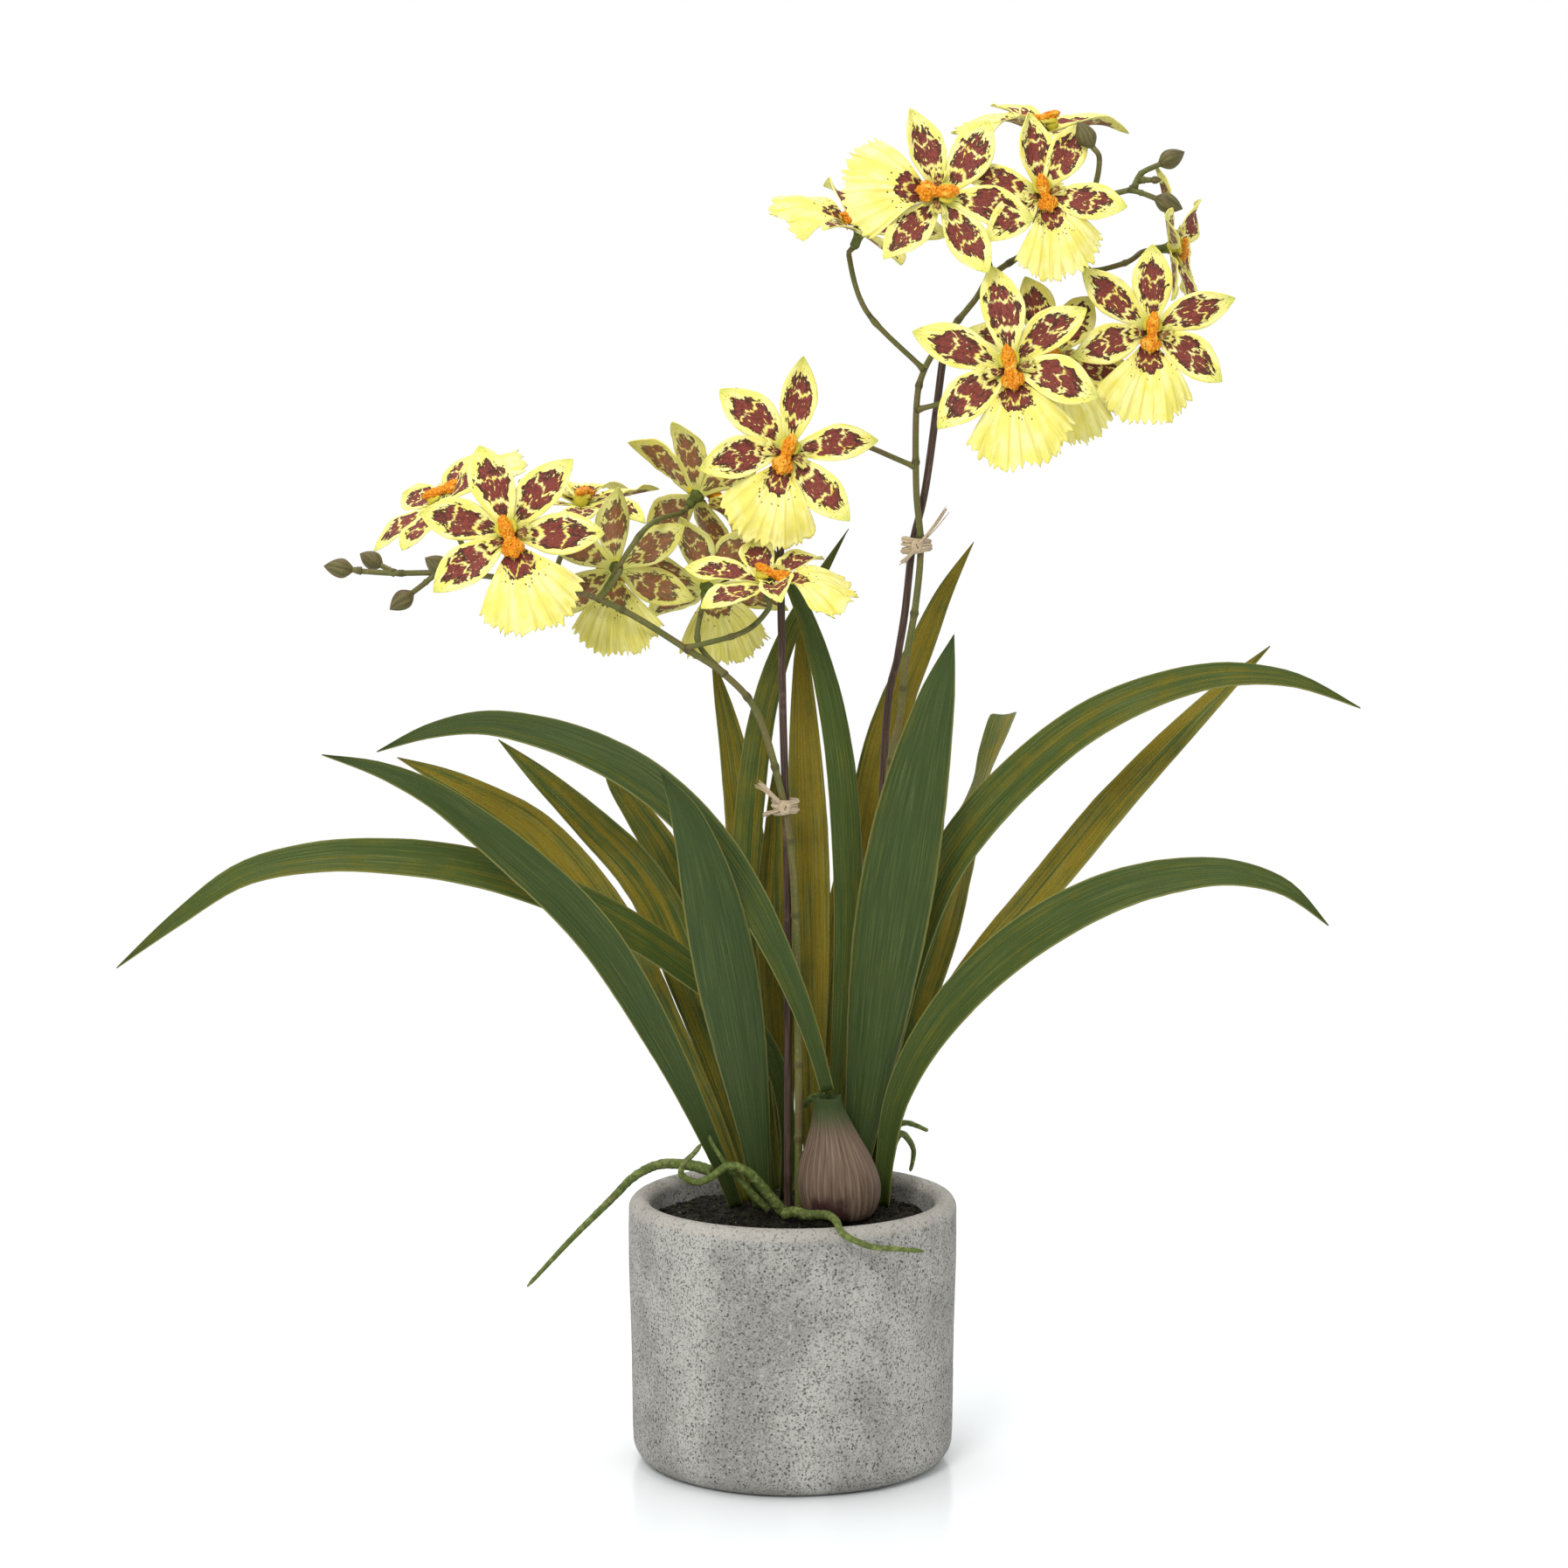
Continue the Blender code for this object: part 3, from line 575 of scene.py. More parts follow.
def leafPaint(under):
    paint = Paint("leafBack" if under else "leafFace", {"Specular IOR Level": 0.14})
    spot = paint.place("leafPlace")   # across, distance along in mm, seed
    gold = paint.number("leafGold")
    across = paint.part(spot, "X")
    along = paint.part(spot, "Y")
    # long streaks that follow the veins
    wide = paint.grain(paint.stretch(spot, (2.6, 0.006, 3.1)), 1, 2, 0.5)
    thin = paint.grain(paint.stretch(spot, (9, 0.012, 7.3)), 1, 3, 0.6)
    hair = paint.grain(paint.stretch(spot, (26, 0.03, 11)), 1, 2, 0.6)
    mottle = paint.grain(paint.solid(), 90, 3, 0.6)
    weave = paint.grain(paint.solid(), 2600, 2, 0.6)
    streak = wide * 0.45 + thin * 0.35 + mottle * 0.2
    base = paint.blend(paint.ease(gold, 0.0, 0.5), leaf["blueGreen"], leaf["green"])
    base = paint.blend(paint.ease(hair, 0.42, 0.62) * 0.45, base, (0.072, 0.105, 0.03))
    banded = paint.ease(streak + gold * 0.16, 0.50, 0.68) * (gold * 0.55 + 0.25)
    base = paint.blend(banded, base, leaf["olive"])
    base = paint.blend(paint.ease(streak + gold * 0.22, 0.60, 0.76) * gold, base, leaf["gold"])
    # painted highlight: pale yellow-green streaks, strongest on the gold leaves
    base = paint.blend(paint.ease(hair + gold * 0.1, 0.58, 0.72) * (gold * 0.35 + 0.12), base, leaf["sunHighlight"])
    rim = paint.ease(abs(across) + weave * 0.03, 0.93, 0.99)
    base = paint.blend(rim * 0.75, base, leaf["edge"])
    base = paint.blend(paint.ease(weave, 0.35, 0.7) * 0.35, base, (0.02, 0.03, 0.012))
    if under:
        # the backs' own paler colour; on the three listed leaves it also carries a painted reflection
        base = paint.blend(paint.number("leafPale"), base, leaf["under"])
    paint.colour(base)
    paint.rough(paint.ease(mottle + weave * 0.3, 0.4, 0.9, 0.42, 0.62))
    veins = paint.node("ShaderNodeMath", {"operation": "SINE"}, {0: across * 34})
    paint.relief(weave * 0.5 + veins * 0.4 + thin * 0.6, 0.22 * mm, 0.8)
    return paint


def leafRings(name):
    # the rings of the plain solid leaf, from its tip to its foot
    shape = bmesh.new()
    shape.from_mesh(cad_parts[name].data)
    bmesh.ops.remove_doubles(shape, verts=shape.verts, dist=0.01 * mm)
    foot = Vector((0, 0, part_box("soil")[1].z))
    for tip in sorted(shape.verts, key=lambda point: -(point.co - foot).length):
        rings = []
        seen = {tip}
        level = [tip]
        while level:
            following = {edge.other_vert(point) for point in level for edge in point.link_edges} - seen
            seen |= following
            level = list(following)
            if level:
                rings.append(level)
        if len(tip.link_edges) == 4 and all(len(ring) == 4 for ring in rings):
            found = [[point.co.copy() for point in ring] for ring in rings]
            end = tip.co.copy()
            shape.free()
            return end, found
    raise ValueError("no rings in " + name)


def leafSpine(name):
    # from foot to tip: the middle, the sideways half width, the lift of the edges and the facing
    tip, rings = leafRings(name)
    spine = []
    sideBefore = None
    for ring in reversed(rings):
        pairs = [(ring[i], ring[j]) for i in range(4) for j in range(i)]
        left, right = max(pairs, key=lambda pair: (pair[0] - pair[1]).length)
        if sideBefore and (right - left).dot(sideBefore) < 0:
            left, right = right, left
        sideBefore = right - left
        inside = [point for point in ring if point is not left and point is not right]
        middle = (inside[0] + inside[1]) / 2
        spine.append([middle, (right - left) / 2, (left + right) / 2 - middle])
    spine.append([tip, spine[-1][1] * 0.02, spine[-1][2] * 0.02])
    # the upper face looks at the front of the plant where the leaf starts
    directions = ways([entry[0] for entry in spine])
    hand = -1 if spine[0][1].cross(directions[0]).y > 0 else 1
    for entry, way in zip(spine, directions):
        entry[1] = entry[1] * hand
        entry.append(entry[1].cross(way).normalized())
    return spine


def blendStations(values, count):
    # a smooth row of values, with the ends held
    ends = [values[0], *values, values[-1]]
    found = []
    for k in range(count):
        at = (len(values) - 1) * k / (count - 1)
        i = min(int(at), len(values) - 2)
        found.append(curveStep(*ends[i:i + 4], at - i))
    return found


def makeLeaf(name, face, back):
    gold, wave, seed = leafLooks[name]
    spine = leafSpine(name)
    count = leaf["stations"]
    middles, sides, lifts, facings = (blendStations([entry[i] for entry in spine], count) for i in range(4))
    half = leaf["columns"] // 2
    rows = []
    places = []
    reach = 0.0
    for k in range(count):
        if k:
            reach += (middles[k] - middles[k - 1]).length / mm
        share = k / (count - 1)
        facing = facings[k].normalized()
        edgeNoise = 1 + leaf["ragged"] * (wobble(reach * 0.9, seed * 3) + 0.8 * wobble(reach * 2.7, seed))
        row = []
        placeRow = []
        for column in range(-half, half + 1):
            c = column / half
            rise = lifts[k] * abs(c) ** 1.25
            pleat = leaf["pleat"] * math.cos(c * 9.4) * math.sin(math.pi * share)
            ruffle = wave * mm * abs(c) ** 2 * math.sin(math.pi * share) * (
                wobble(reach * 0.035, seed * 5 + (2 if c > 0 else 0)) + 0.3 * wobble(reach * 0.12, seed + c))
            wide = c * edgeNoise if abs(column) == half else c
            row.append(middles[k] + sides[k] * wide + rise + facing * (pleat + ruffle))
            placeRow.append((c, reach, seed))
        rows.append(row)
        places.append(placeRow)
    heap = Heap()
    heap.grid(rows, places)
    # back paleness: the backs' own paler colour, plus a painted reflection on the three listed leaves
    pale = leaf["palestWithReflection"] if name in leaf["paleReflectingBacks"] else leaf["lessPale"]
    total = len(heap.points)
    piece = newPiece(name + "_blade", heap.points, heap.faces, [face, back], [name],
                     {"leafPlace": heap.places, "leafGold": [gold] * total, "leafPale": [pale] * total})
    thicken(piece, leaf["thickness"])


leafFace = leafPaint(False)
leafBack = leafPaint(True)
for name in leafLooks:
    makeLeaf(name, leafFace, leafBack)
print("leaves made")

# stakes
stake = {
    "radius": 1.55 * mm,
    "brown": (0.085, 0.050, 0.034),
    "dark": (0.030, 0.018, 0.013),
    "cut": (0.30, 0.22, 0.15),
    "routes": {
        "stake_left": [(-2, 2, 102.4), (-2, 0, 233), (-4, -2, 311), (-5, -4, 383)],
        "stake_right": [(33, 28, 102.4), (34, 25, 152), (38, 21, 295), (43, 18, 330), (46, 17, 349),
                        (49, 15, 377), (54, 12, 400), (61, 9, 454)],
    },
}


def stakePaint():
    paint = Paint("stakeBrown", {"Specular IOR Level": 0.2})
    spot = paint.place("tubePlace")   # turn, distance along in mm, seed
    strands = paint.grain(paint.stretch(spot, (3.2, 0.05, 1)), 1, 3, 0.6)
    blotch = paint.grain(paint.solid(), 70, 3, 0.6)
    base = paint.blend(paint.ease(strands, 0.38, 0.62), stake["dark"], stake["brown"])
    base = paint.blend(paint.ease(blotch, 0.56, 0.72) * 0.5, base, (0.16, 0.105, 0.075))
    paint.colour(base)
    paint.rough(paint.ease(strands, 0.3, 0.7, 0.38, 0.6))
    paint.relief(strands, 0.25 * mm, 0.7)
    return paint


stakeBrown = stakePaint()
cutWood = Paint("cutWood", {"Roughness": 0.8})
cutWood.colour(cutWood.blend(cutWood.ease(cutWood.grain(cutWood.solid(), 1500, 2), 0.4, 0.6),
                             stake["brown"], stake["cut"]))


def makeStake(name, points):
    route = smoothRoute(inMetres(points), 90)
    route[0] -= Vector((0, 0, 2 * mm))
    heap = Heap()

    def radiusAt(share, reach, turn):
        waves = 0.05 * wobble(reach * 0.05, turn) + 0.03 * wobble(reach * 0.4, turn * 2)
        return stake["radius"] * (1 + waves)

    sweep(heap, route, radiusAt, 20, seed=len(name))
    heap.paintOf[-1] = 1    # the cut top
    piece = newPiece(name + "_cane", heap.points, heap.faces, [stakeBrown, cutWood], [name],
                     {"tubePlace": heap.places}, heap.paintOf)
    piece.data.set_sharp_from_angle(angle=math.radians(50))


for name, points in stake["routes"].items():
    makeStake(name, points)
print("stakes made")

# where each flower sits
# the centre in mm, the way it faces, the way its lip hangs, its size, where its own stalk leaves the
# spike, the point the stalk bends through, and the spike
flowerPlaces = {
    "flower_right_1": ((27, 0, 502), (0.35, -0.35, 0.85), (-0.9, -0.15, 0.25), 1.0,
                       (53, 5, 447), (30, 3, 470), "spike_right"),
    "flower_right_2": ((58, -30, 515), (0.15, -0.95, 0.3), (-1, -0.1, 0.1), 1.05,
                       (80, -1, 485), (74, -4, 500), "spike_right"),
    "flower_right_3": ((98, -20, 517), (0.1, -0.95, 0.3), (0.3, 0, -1), 0.95,
                       (98, -2, 497), (97, 0, 506), "spike_right"),
    "flower_right_4": ((102, 22, 543), (0.05, -0.2, 1), (-1, 0.1, 0.05), 1.0,
                       (110, -2, 507), (105, 14, 518), "spike_right"),
    "flower_right_5": ((152, 10, 496), (0.95, -0.3, 0.15), (0.3, 0.9, -0.3), 0.95,
                       (120, 0, 486), (134, 5, 490), "spike_right"),
    "flower_right_6": ((142, -14, 463), (0.1, -0.95, 0.2), (-0.1, 0, -1), 1.0,
                       (98, -2, 497), (120, 0, 486), "spike_right"),
    "flower_right_7": ((85, -34, 449), (-0.05, -0.95, 0.25), (0.2, 0, -1), 1.1,
                       (50, 6, 431), (70, -4, 437), "spike_right"),
    "flower_right_8": ((103, -2, 452), (0.15, -0.9, 0.4), (0.3, 0, -1), 1.0,
                       (76, -0.5, 479), (90, 6, 463), "spike_right"),
    "flower_right_9": ((-2, -14, 415), (0.05, -0.95, 0.2), (-0.35, 0, -1), 1.05,
                       (50, 7, 408), (20, 2, 419), "spike_right"),
    "flower_left_1": ((-142, 16, 393), (-0.5, -0.3, 0.75), (0.8, 0, 0.4), 1.0,
                      (-127, -4, 365), (-134, 2, 378), "spike_left"),
    "flower_left_2": ((-112, -34, 383), (-0.1, -0.95, 0.25), (0.35, 0, -1), 1.1,
                      (-104, -8, 362), (-108, -14, 370), "spike_left"),
    "flower_left_3": ((-86, 22, 392), (0.0, -0.25, 1), (0.1, 0.9, 0.2), 0.95,
                      (-93, -12, 360.2), (-94, -3, 371), "spike_left"),
    "flower_left_4": ((-71, -6, 368), (-0.15, 0.95, 0.1), (0, 0.1, -1), 0.95,
                      (-78, -15, 355.5), (-74, -18, 360), "spike_left"),
    "flower_left_5": ((-39, 17, 396), (0.45, 0.65, 0.5), (0.9, -0.1, -0.4), 1.05,
                      (-78, -15, 355.5), (-59, -14, 384), "spike_left"),
    "flower_left_6": ((-35, 17, 359), (0.1, 0.8, 0.5), (0.2, 0, -1), 1.0,
                      (-27, -10, 325), (-38, -8, 338), "spike_left"),
    "flower_left_7": ((-10, -27, 363), (0, -0.35, 0.93), (0.95, -0.2, -0.2), 0.95,
                      (-43, -12, 336), (-20, -20, 343), "spike_left"),
}

# spikes
spike = {
    "radius": 1.7 * mm,
    "twig": 1.1 * mm,
    "budRadius": 4 * mm,
    "budRows": 18,
    "budSides": 30,
    "nodeEvery": 31,
    "olive": (0.130, 0.120, 0.034),
    "green": (0.095, 0.105, 0.026),
    "brown": (0.105, 0.065, 0.038),
    "routes": {
        "spike_left": [(2.6, 0, 102.4), (2.4, -1, 169), (1.2, -2.2, 225), (-0.8, -4.6, 255),
                       (-4.5, -5.8, 277), (-14, -8, 309), (-27, -10, 325), (-43, -12, 336),
                       (-65, -15, 350), (-83, -15, 358), (-104, -8, 362), (-127, -4, 365),
                       (-143, -6, 366), (-160, -8, 366), (-175, -10, 367)],
        "spike_right": [(29, 28, 102.4), (31, 22, 167), (39, 15, 277), (44, 12, 307), (46, 11, 328),
                        (50, 9.5, 352), (52, 9.5, 376), (50, 7, 400), (50, 6, 433), (53, 5, 447),
                        (61, 3, 460), (73, 0, 475), (80, -1, 485), (98, -2, 497), (111, -2, 508),
                        (122, -2, 515), (136, -2, 519)],
    },
    # the spike, the twig's points and the bud's size
    "buds": [
        ("spike_left", [(-173, -10, 367), (-177, -10, 367.5)], 1.0),
        ("spike_left", [(-160, -8, 366), (-164, -5, 368), (-166, -4, 369)], 0.95),
        ("spike_left", [(-130, -4, 365), (-135, -12, 365), (-138, -14, 367)], 1.05),
        ("spike_left", [(-143, -6, 366), (-149, -9, 361), (-153, -11, 358)], 1.0),
        ("spike_right", [(134, -2, 519), (140, -3, 517), (145, -4, 515)], 1.0),
        ("spike_right", [(136, -2, 519), (139, 0, 525), (147, 2, 529)], 1.0),
        ("spike_right", [(138, -0.8, 522.5), (141, -1.2, 522.5), (143, -1.5, 522.5)], 0.4),
        ("spike_right", [(111, -2, 508), (119, -12, 518), (121, -18, 530), (118, -18, 535)], 1.0),
    ],
}


def stemPaint():
    paint = Paint("spikeStem", {"Specular IOR Level": 0.18})
    spot = paint.place("tubePlace")
    reach = paint.part(spot, "Y")
    strands = paint.grain(paint.stretch(spot, (2.6, 0.04, 5)), 1, 3, 0.6)
    blotch = paint.grain(paint.solid(), 60, 3, 0.6)
    base = paint.blend(paint.ease(blotch, 0.36, 0.58), spike["green"], spike["olive"])
    base = paint.blend(paint.ease(strands + blotch * 0.6, 0.76, 1.0) * 0.8, base, spike["brown"])
    flecks = paint.ease(paint.grain(paint.solid(), 900, 2), 0.58, 0.7) * 0.4
    base = paint.blend(flecks, base, (0.26, 0.24, 0.10))
    # a darker joint every so often
    joint = paint.node("ShaderNodeMath", {"operation": "PINGPONG"}, {0: reach, 1: spike["nodeEvery"] / 2})
    base = paint.blend(paint.ease(joint, 0.3, 2.2, 1, 0) * 0.6, base, (0.05, 0.04, 0.015))
    paint.colour(base)
    paint.rough(paint.ease(strands, 0.3, 0.7, 0.40, 0.62))
    paint.relief(strands + blotch * 0.5, 0.25 * mm, 0.7)
    return paint


def budPaint():
    paint = Paint("bud", {"Specular IOR Level": 0.18})
    spot = paint.place("tubePlace")
    turn = paint.part(spot, "X")
    streaks = paint.grain(paint.stretch(spot, (4, 0.12, 3)), 1, 3, 0.6)
    seam = abs(paint.node("ShaderNodeMath", {"operation": "SINE"}, {0: turn * 2.5}))
    base = paint.blend(paint.ease(streaks, 0.36, 0.64), (0.070, 0.064, 0.022), (0.140, 0.118, 0.046))
    base = paint.blend(paint.ease(seam, 0.0, 0.16, 1, 0) * 0.7, base, (0.035, 0.028, 0.012))
    rusty = paint.ease(paint.grain(paint.solid(), 300, 3), 0.56, 0.68) * 0.5
    base = paint.blend(rusty, base, (0.17, 0.09, 0.05))
    paint.colour(base)
    paint.rough(paint.ease(streaks, 0.3, 0.7, 0.45, 0.7))
    paint.relief(streaks, 0.2 * mm, 0.7)
    return paint


def addBud(heap, foot, way, size, seed):
    length = 2.9 * spike["budRadius"] * size
    turn = way.to_track_quat("Z", "Y").to_matrix()
    rows = []
    places = []
    count = spike["budRows"]
    sides = spike["budSides"]
    for k in range(count):
        level = k / (count - 1)
        out = (0.30 + 0.70 * math.sin(math.pi / 2 * min(1, level / 0.38)) if level < 0.38
               else math.cos(math.pi / 2 * (level - 0.38) / 0.62) ** 0.85)
        row = []
        for i in range(sides):
            angle = math.tau * i / sides
            seam = 0.10 * max(0, 1 - abs(math.sin(angle * 2.5)) * 5)
            groove = 1 - seam - 0.02 * wobble(angle, level * 4, seed)
            girth = spike["budRadius"] * size * max(out, 0.04) * groove
            twisted = angle + 0.5 * level
            spot = Vector((girth * math.cos(twisted), girth * math.sin(twisted), length * level))
            row.append(foot + turn @ spot)
        rows.append(row)
        places.append([(math.tau * i / sides, level * 12, seed) for i in range(sides)])
    start = heap.grid(rows, places, wrap=True, paint=1)
    heap.cap(range(start + sides - 1, start - 1, -1), 1)
    heap.cap(range(start + sides * (count - 1), start + sides * count), 1)


def flowerFrame(centre, facing, lipWay):
    front = Vector(facing).normalized()
    down = Vector(lipWay)
    down = (down - down.dot(front) * front).normalized()
    matrix = Matrix((down.cross(front).normalized(), -down, front)).transposed().to_4x4()
    matrix.translation = Vector(centre) * mm
    return matrix


def makeSpike(name, stem, bud):
    heap = Heap()

    def stemRadius(share, reach, turn):
        size = spike["radius"] * (1 - 0.34 * share)
        near = abs((reach / spike["nodeEvery"] + 0.5) % 1 - 0.5) * spike["nodeEvery"]
        ring = 0.35 * math.exp(-(near / 1.1) ** 2)
        return size * (1 + ring + 0.05 * wobble(reach * 0.06, turn * 0.7) + 0.04 * math.cos(turn * 5))

    sweep(heap, smoothRoute(inMetres(spike["routes"][name]), 300), stemRadius, 20)

    def twigRadius(share, reach, turn):
        swell = 0.55 * math.exp(-(reach / 2.2) ** 2)
        ring = 0.30 * math.exp(-((share - 0.45) / 0.03) ** 2)
        return spike["twig"] * (1 + swell + ring + 0.06 * wobble(reach * 0.2, turn))

    for place in spike["buds"]:
        if place[0] == name:
            twig = inMetres(place[1])
            way = (twig[-1] - twig[-2]).normalized()
            sweep(heap, smoothRoute(twig, 24), twigRadius, 14, seed=place[2] * 10)
            addBud(heap, twig[-1] - way * 0.4 * mm, way, place[2], place[2] * 7 + twig[0].x * 90)
    for centre, facing, _, size, first, bend, owner in flowerPlaces.values():
        if owner == name:
            front = Vector(facing).normalized()
            end = Vector(centre) * mm - front * (size * 7 * mm)
            route = smoothRoute([Vector(first) * mm, Vector(bend) * mm, end - front * 5 * mm, end], 40)
            sweep(heap, route, twigRadius, 14, seed=centre[0])
    newPiece(name + "_stem", heap.points, heap.faces, [stem, bud], [name],
             {"tubePlace": heap.places}, heap.paintOf)


stemOlive = stemPaint()
budOlive = budPaint()
for name in spike["routes"]:
    makeSpike(name, stemOlive, budOlive)
print("spikes made")

# raffia ties
tie = {
    "straw": (0.62, 0.50, 0.33),
    "dark": (0.33, 0.23, 0.12),
    "pale": (0.80, 0.70, 0.52),
    # the middle, the half widths, and the loose ends
    "knots": {
        "tie_left": ((-3, -3, 271), (5.0, 5.0), [[(-6, -8, 274), (-11, -9, 279), (-14, -8, 281)],
                                                 [(-6, -8, 270), (-10, -8, 269), (-12, -7, 268)]]),
        "tie_right": ((50.4, 12.2, 376), (5.8, 5.8), [[(52, 5, 378), (57, 4, 384), (62, 5, 391)],
                                                      [(49, 5, 374), (46, 5, 371), (44, 6, 369)]]),
    },
}


def raffiaPaint():
    paint = Paint("raffia", {"Specular IOR Level": 0.18, "Sheen Weight": 0.2})
    spot = paint.place("tubePlace")
    fibres = paint.grain(paint.stretch(spot, (9, 0.10, 3)), 1, 4, 0.65)
    base = paint.blend(paint.ease(fibres, 0.36, 0.56), tie["dark"], tie["straw"])
    base = paint.blend(paint.ease(fibres, 0.55, 0.72), base, tie["pale"])
    paint.colour(base)
    paint.rough(paint.ease(fibres, 0.3, 0.7, 0.6, 0.85))
    paint.relief(fibres, 0.35 * mm, 1.0)
    return paint


def ribbon(heap, route, wide, thin, seed):
    # a flat strand: its wide side turns slowly on the way
    def radiusAt(share, reach, turn):
        flat = math.hypot(wide * math.cos(turn), thin * math.sin(turn))
        crease = 1 - 0.18 * abs(math.cos(turn * 3 + seed))
        return max(flat * crease, thin * 0.6) * (1 - 0.35 * max(0, share - 0.8) * 5)

    sweep(heap, route, radiusAt, 18, seed=seed)


def makeTie(name, straw):
    centre, (wide, deep), tails = tie["knots"][name]
    heap = Heap()
    middle = Vector(centre) * mm
    dice = random.Random(name)
    for loop in range(7):
        height = (-2.2 + 0.75 * loop) * mm
        tilt = dice.uniform(-0.18, 0.18)
        swell = dice.uniform(0.90, 1.04)
        ring = []
        for i in range(49):
            angle = math.tau * i / 48 + loop
            x = math.cos(angle) * wide * mm * swell
            y = math.sin(angle) * deep * mm * swell
            ring.append(middle + Vector((x, y, height + tilt * x + 0.3 * mm * wobble(angle, loop))))
        ribbon(heap, ring, 0.95 * mm, 0.35 * mm, loop)
    knot = middle + Vector((0, -deep * mm * 1.05, 0))
    for turnNumber in range(5):
        ring = []
        tilt = dice.uniform(-0.9, 0.9)
        for i in range(25):
            angle = math.tau * i / 24
            rise = 1.9 * mm * math.sin(angle) + 1.6 * mm * math.cos(angle) * math.sin(tilt)
            ring.append(knot + Vector((1.7 * mm * math.cos(angle) * math.cos(tilt),
                                       -1.0 * mm * abs(math.sin(angle * 0.5)), rise)))
        ribbon(heap, ring, 0.9 * mm, 0.4 * mm, 20 + turnNumber)
    for tail in tails:
        points = [knot, *inMetres(tail)]
        for strand in range(5):
            spread = Vector((dice.uniform(-0.8, 0.8), dice.uniform(-0.6, 0.6), dice.uniform(-0.8, 0.8))) * mm
            strandRoute = [point + spread * (i * (0.6 if strand else 0.1)) for i, point in enumerate(points)]
            size = 1.0 if strand == 0 else 0.35
            ribbon(heap, smoothRoute(strandRoute, 30), 0.85 * mm * size, 0.32 * mm * size, 40 + strand)
    newPiece(name + "_strands", heap.points, heap.faces, [straw], [name],
             {"tubePlace": heap.places})


strawFibre = raffiaPaint()
for name in tie["knots"]:
    makeTie(name, strawFibre)
print("ties made")

# roots
root = {
    "green": (0.125, 0.165, 0.040),
    "pale": (0.22, 0.25, 0.09),
    "dark": (0.080, 0.105, 0.026),
    # the route in mm, the radius at the thick end and at the tip
    "routes": {
        "root_over_left_rim": ([(-33, 13, 117), (-42, 20, 118), (-55, 27, 117), (-66, 26, 112),
                                (-76, 20, 103), (-91, 14, 89), (-110, 10, 69)], 2.4, 0.8),
        "root_coiled": ([(-4, -7, 104.5), (-9, -9, 111), (-15, -12, 119), (-21, -14, 124), (-27, -16, 125),
                         (-33, -17, 121), (-39, -18, 119), (-45, -18, 122), (-44, -18, 127), (-40, -18, 131),
                         (-37, -18, 135)], 2.4, 0.9),
        "root_under": ([(-10, -4, 105), (-15, -6, 110), (-20, -7, 116), (-26, -9, 123), (-32, -10, 132),
                        (-34, -11, 137)], 1.7, 0.7),
        "root_over_front_rim": ([(-3, -14, 105), (1, -19, 107), (6, -27, 107.5), (11, -38, 110),
                                 (14, -50, 112.5), (17, -62, 113), (20, -70.5, 109.5), (30, -71.5, 105),
                                 (41, -68, 103), (52, -63, 101)], 2.3, 0.8),
        "root_right_upper": ([(41, 32, 128), (44, 34, 132), (48, 35, 133), (53, 37, 131), (57, 38, 129)],
                             1.5, 0.8),
        "root_right_lower": ([(42, 33, 124), (45, 36, 128), (48, 40, 126), (51, 45, 120), (51, 49, 114),
                              (50, 51, 109)], 1.6, 0.8),
        "root_stub": ([(5, 8, 146), (7, 5, 149), (10, 2, 151), (13, -1, 152)], 1.5, 0.9),
    },
}


def rootPaint():
    paint = Paint("rootSkin", {"Specular IOR Level": 0.15})
    here = paint.solid()
    lumps = paint.grain(here, 420, 3, 0.65)
    clouds = paint.grain(here, 90, 3, 0.6)
    base = paint.blend(paint.ease(lumps, 0.40, 0.62), root["dark"], root["green"])
    base = paint.blend(paint.ease(lumps * 0.6 + clouds * 0.4, 0.50, 0.66) * 0.8, base, root["pale"])
    base = paint.blend(paint.ease(clouds, 0.58, 0.70) * 0.4, base, (0.12, 0.09, 0.04))
    paint.colour(base)
    paint.rough(paint.ease(lumps, 0.3, 0.7, 0.55, 0.8))
    paint.relief(lumps, 0.7 * mm, 1.0)
    return paint


rootSkin = rootPaint()
for name, (points, thick, thin) in root["routes"].items():
    heap = Heap()

    def radiusAt(share, reach, turn):
        size = (thick + (thin - thick) * share) * mm
        knobs = wobble(reach * 0.55, math.cos(turn) * 1.5, math.sin(turn) * 1.5)
        close = 1 - max(0, share - 0.97) * 20
        return size * close * (1.02 + 0.14 * knobs + 0.07 * wobble(reach * 1.7, turn * 2, 3))

    sweep(heap, smoothRoute(inMetres(points), 160), radiusAt, 22, seed=thick)
    newPiece(name + "_skin", heap.points, heap.faces, [rootSkin], [name], {"tubePlace": heap.places})
print("roots made")

# flowers
flower = {
    "petalLength": 35 * mm,
    "petalWidth": 15.5 * mm,
    "petalRows": 34,
    "petalColumns": 17,
    "lipLength": 38 * mm,
    "lipRows": 30,
    "lipColumns": 85,
    "teeth": 0.80,          # the share of the lip's length where its teeth start
    "thickness": 0.35 * mm,
    "pale": (0.75, 0.68, 0.15),
    "cream": (0.83, 0.79, 0.32),
    "tip": (0.52, 0.56, 0.10),
    "fold": (0.56, 0.45, 0.035),
    "maroon": (0.115, 0.012, 0.018),
    "rust": (0.235, 0.032, 0.034),
    "shadow": (0.022, 0.004, 0.009),
    # painted highlight colour on the blotches
    "pinkHighlight": (0.42, 0.13, 0.11),
    # painted shade colour for the petal and lip backs
    "backShade": (0.42, 0.38, 0.08),
    "orange": (0.86, 0.36, 0.012),
    "deepOrange": (0.66, 0.19, 0.006),
    "hood": (0.46, 0.43, 0.05),
    "socket": (0.060, 0.075, 0.014),
}


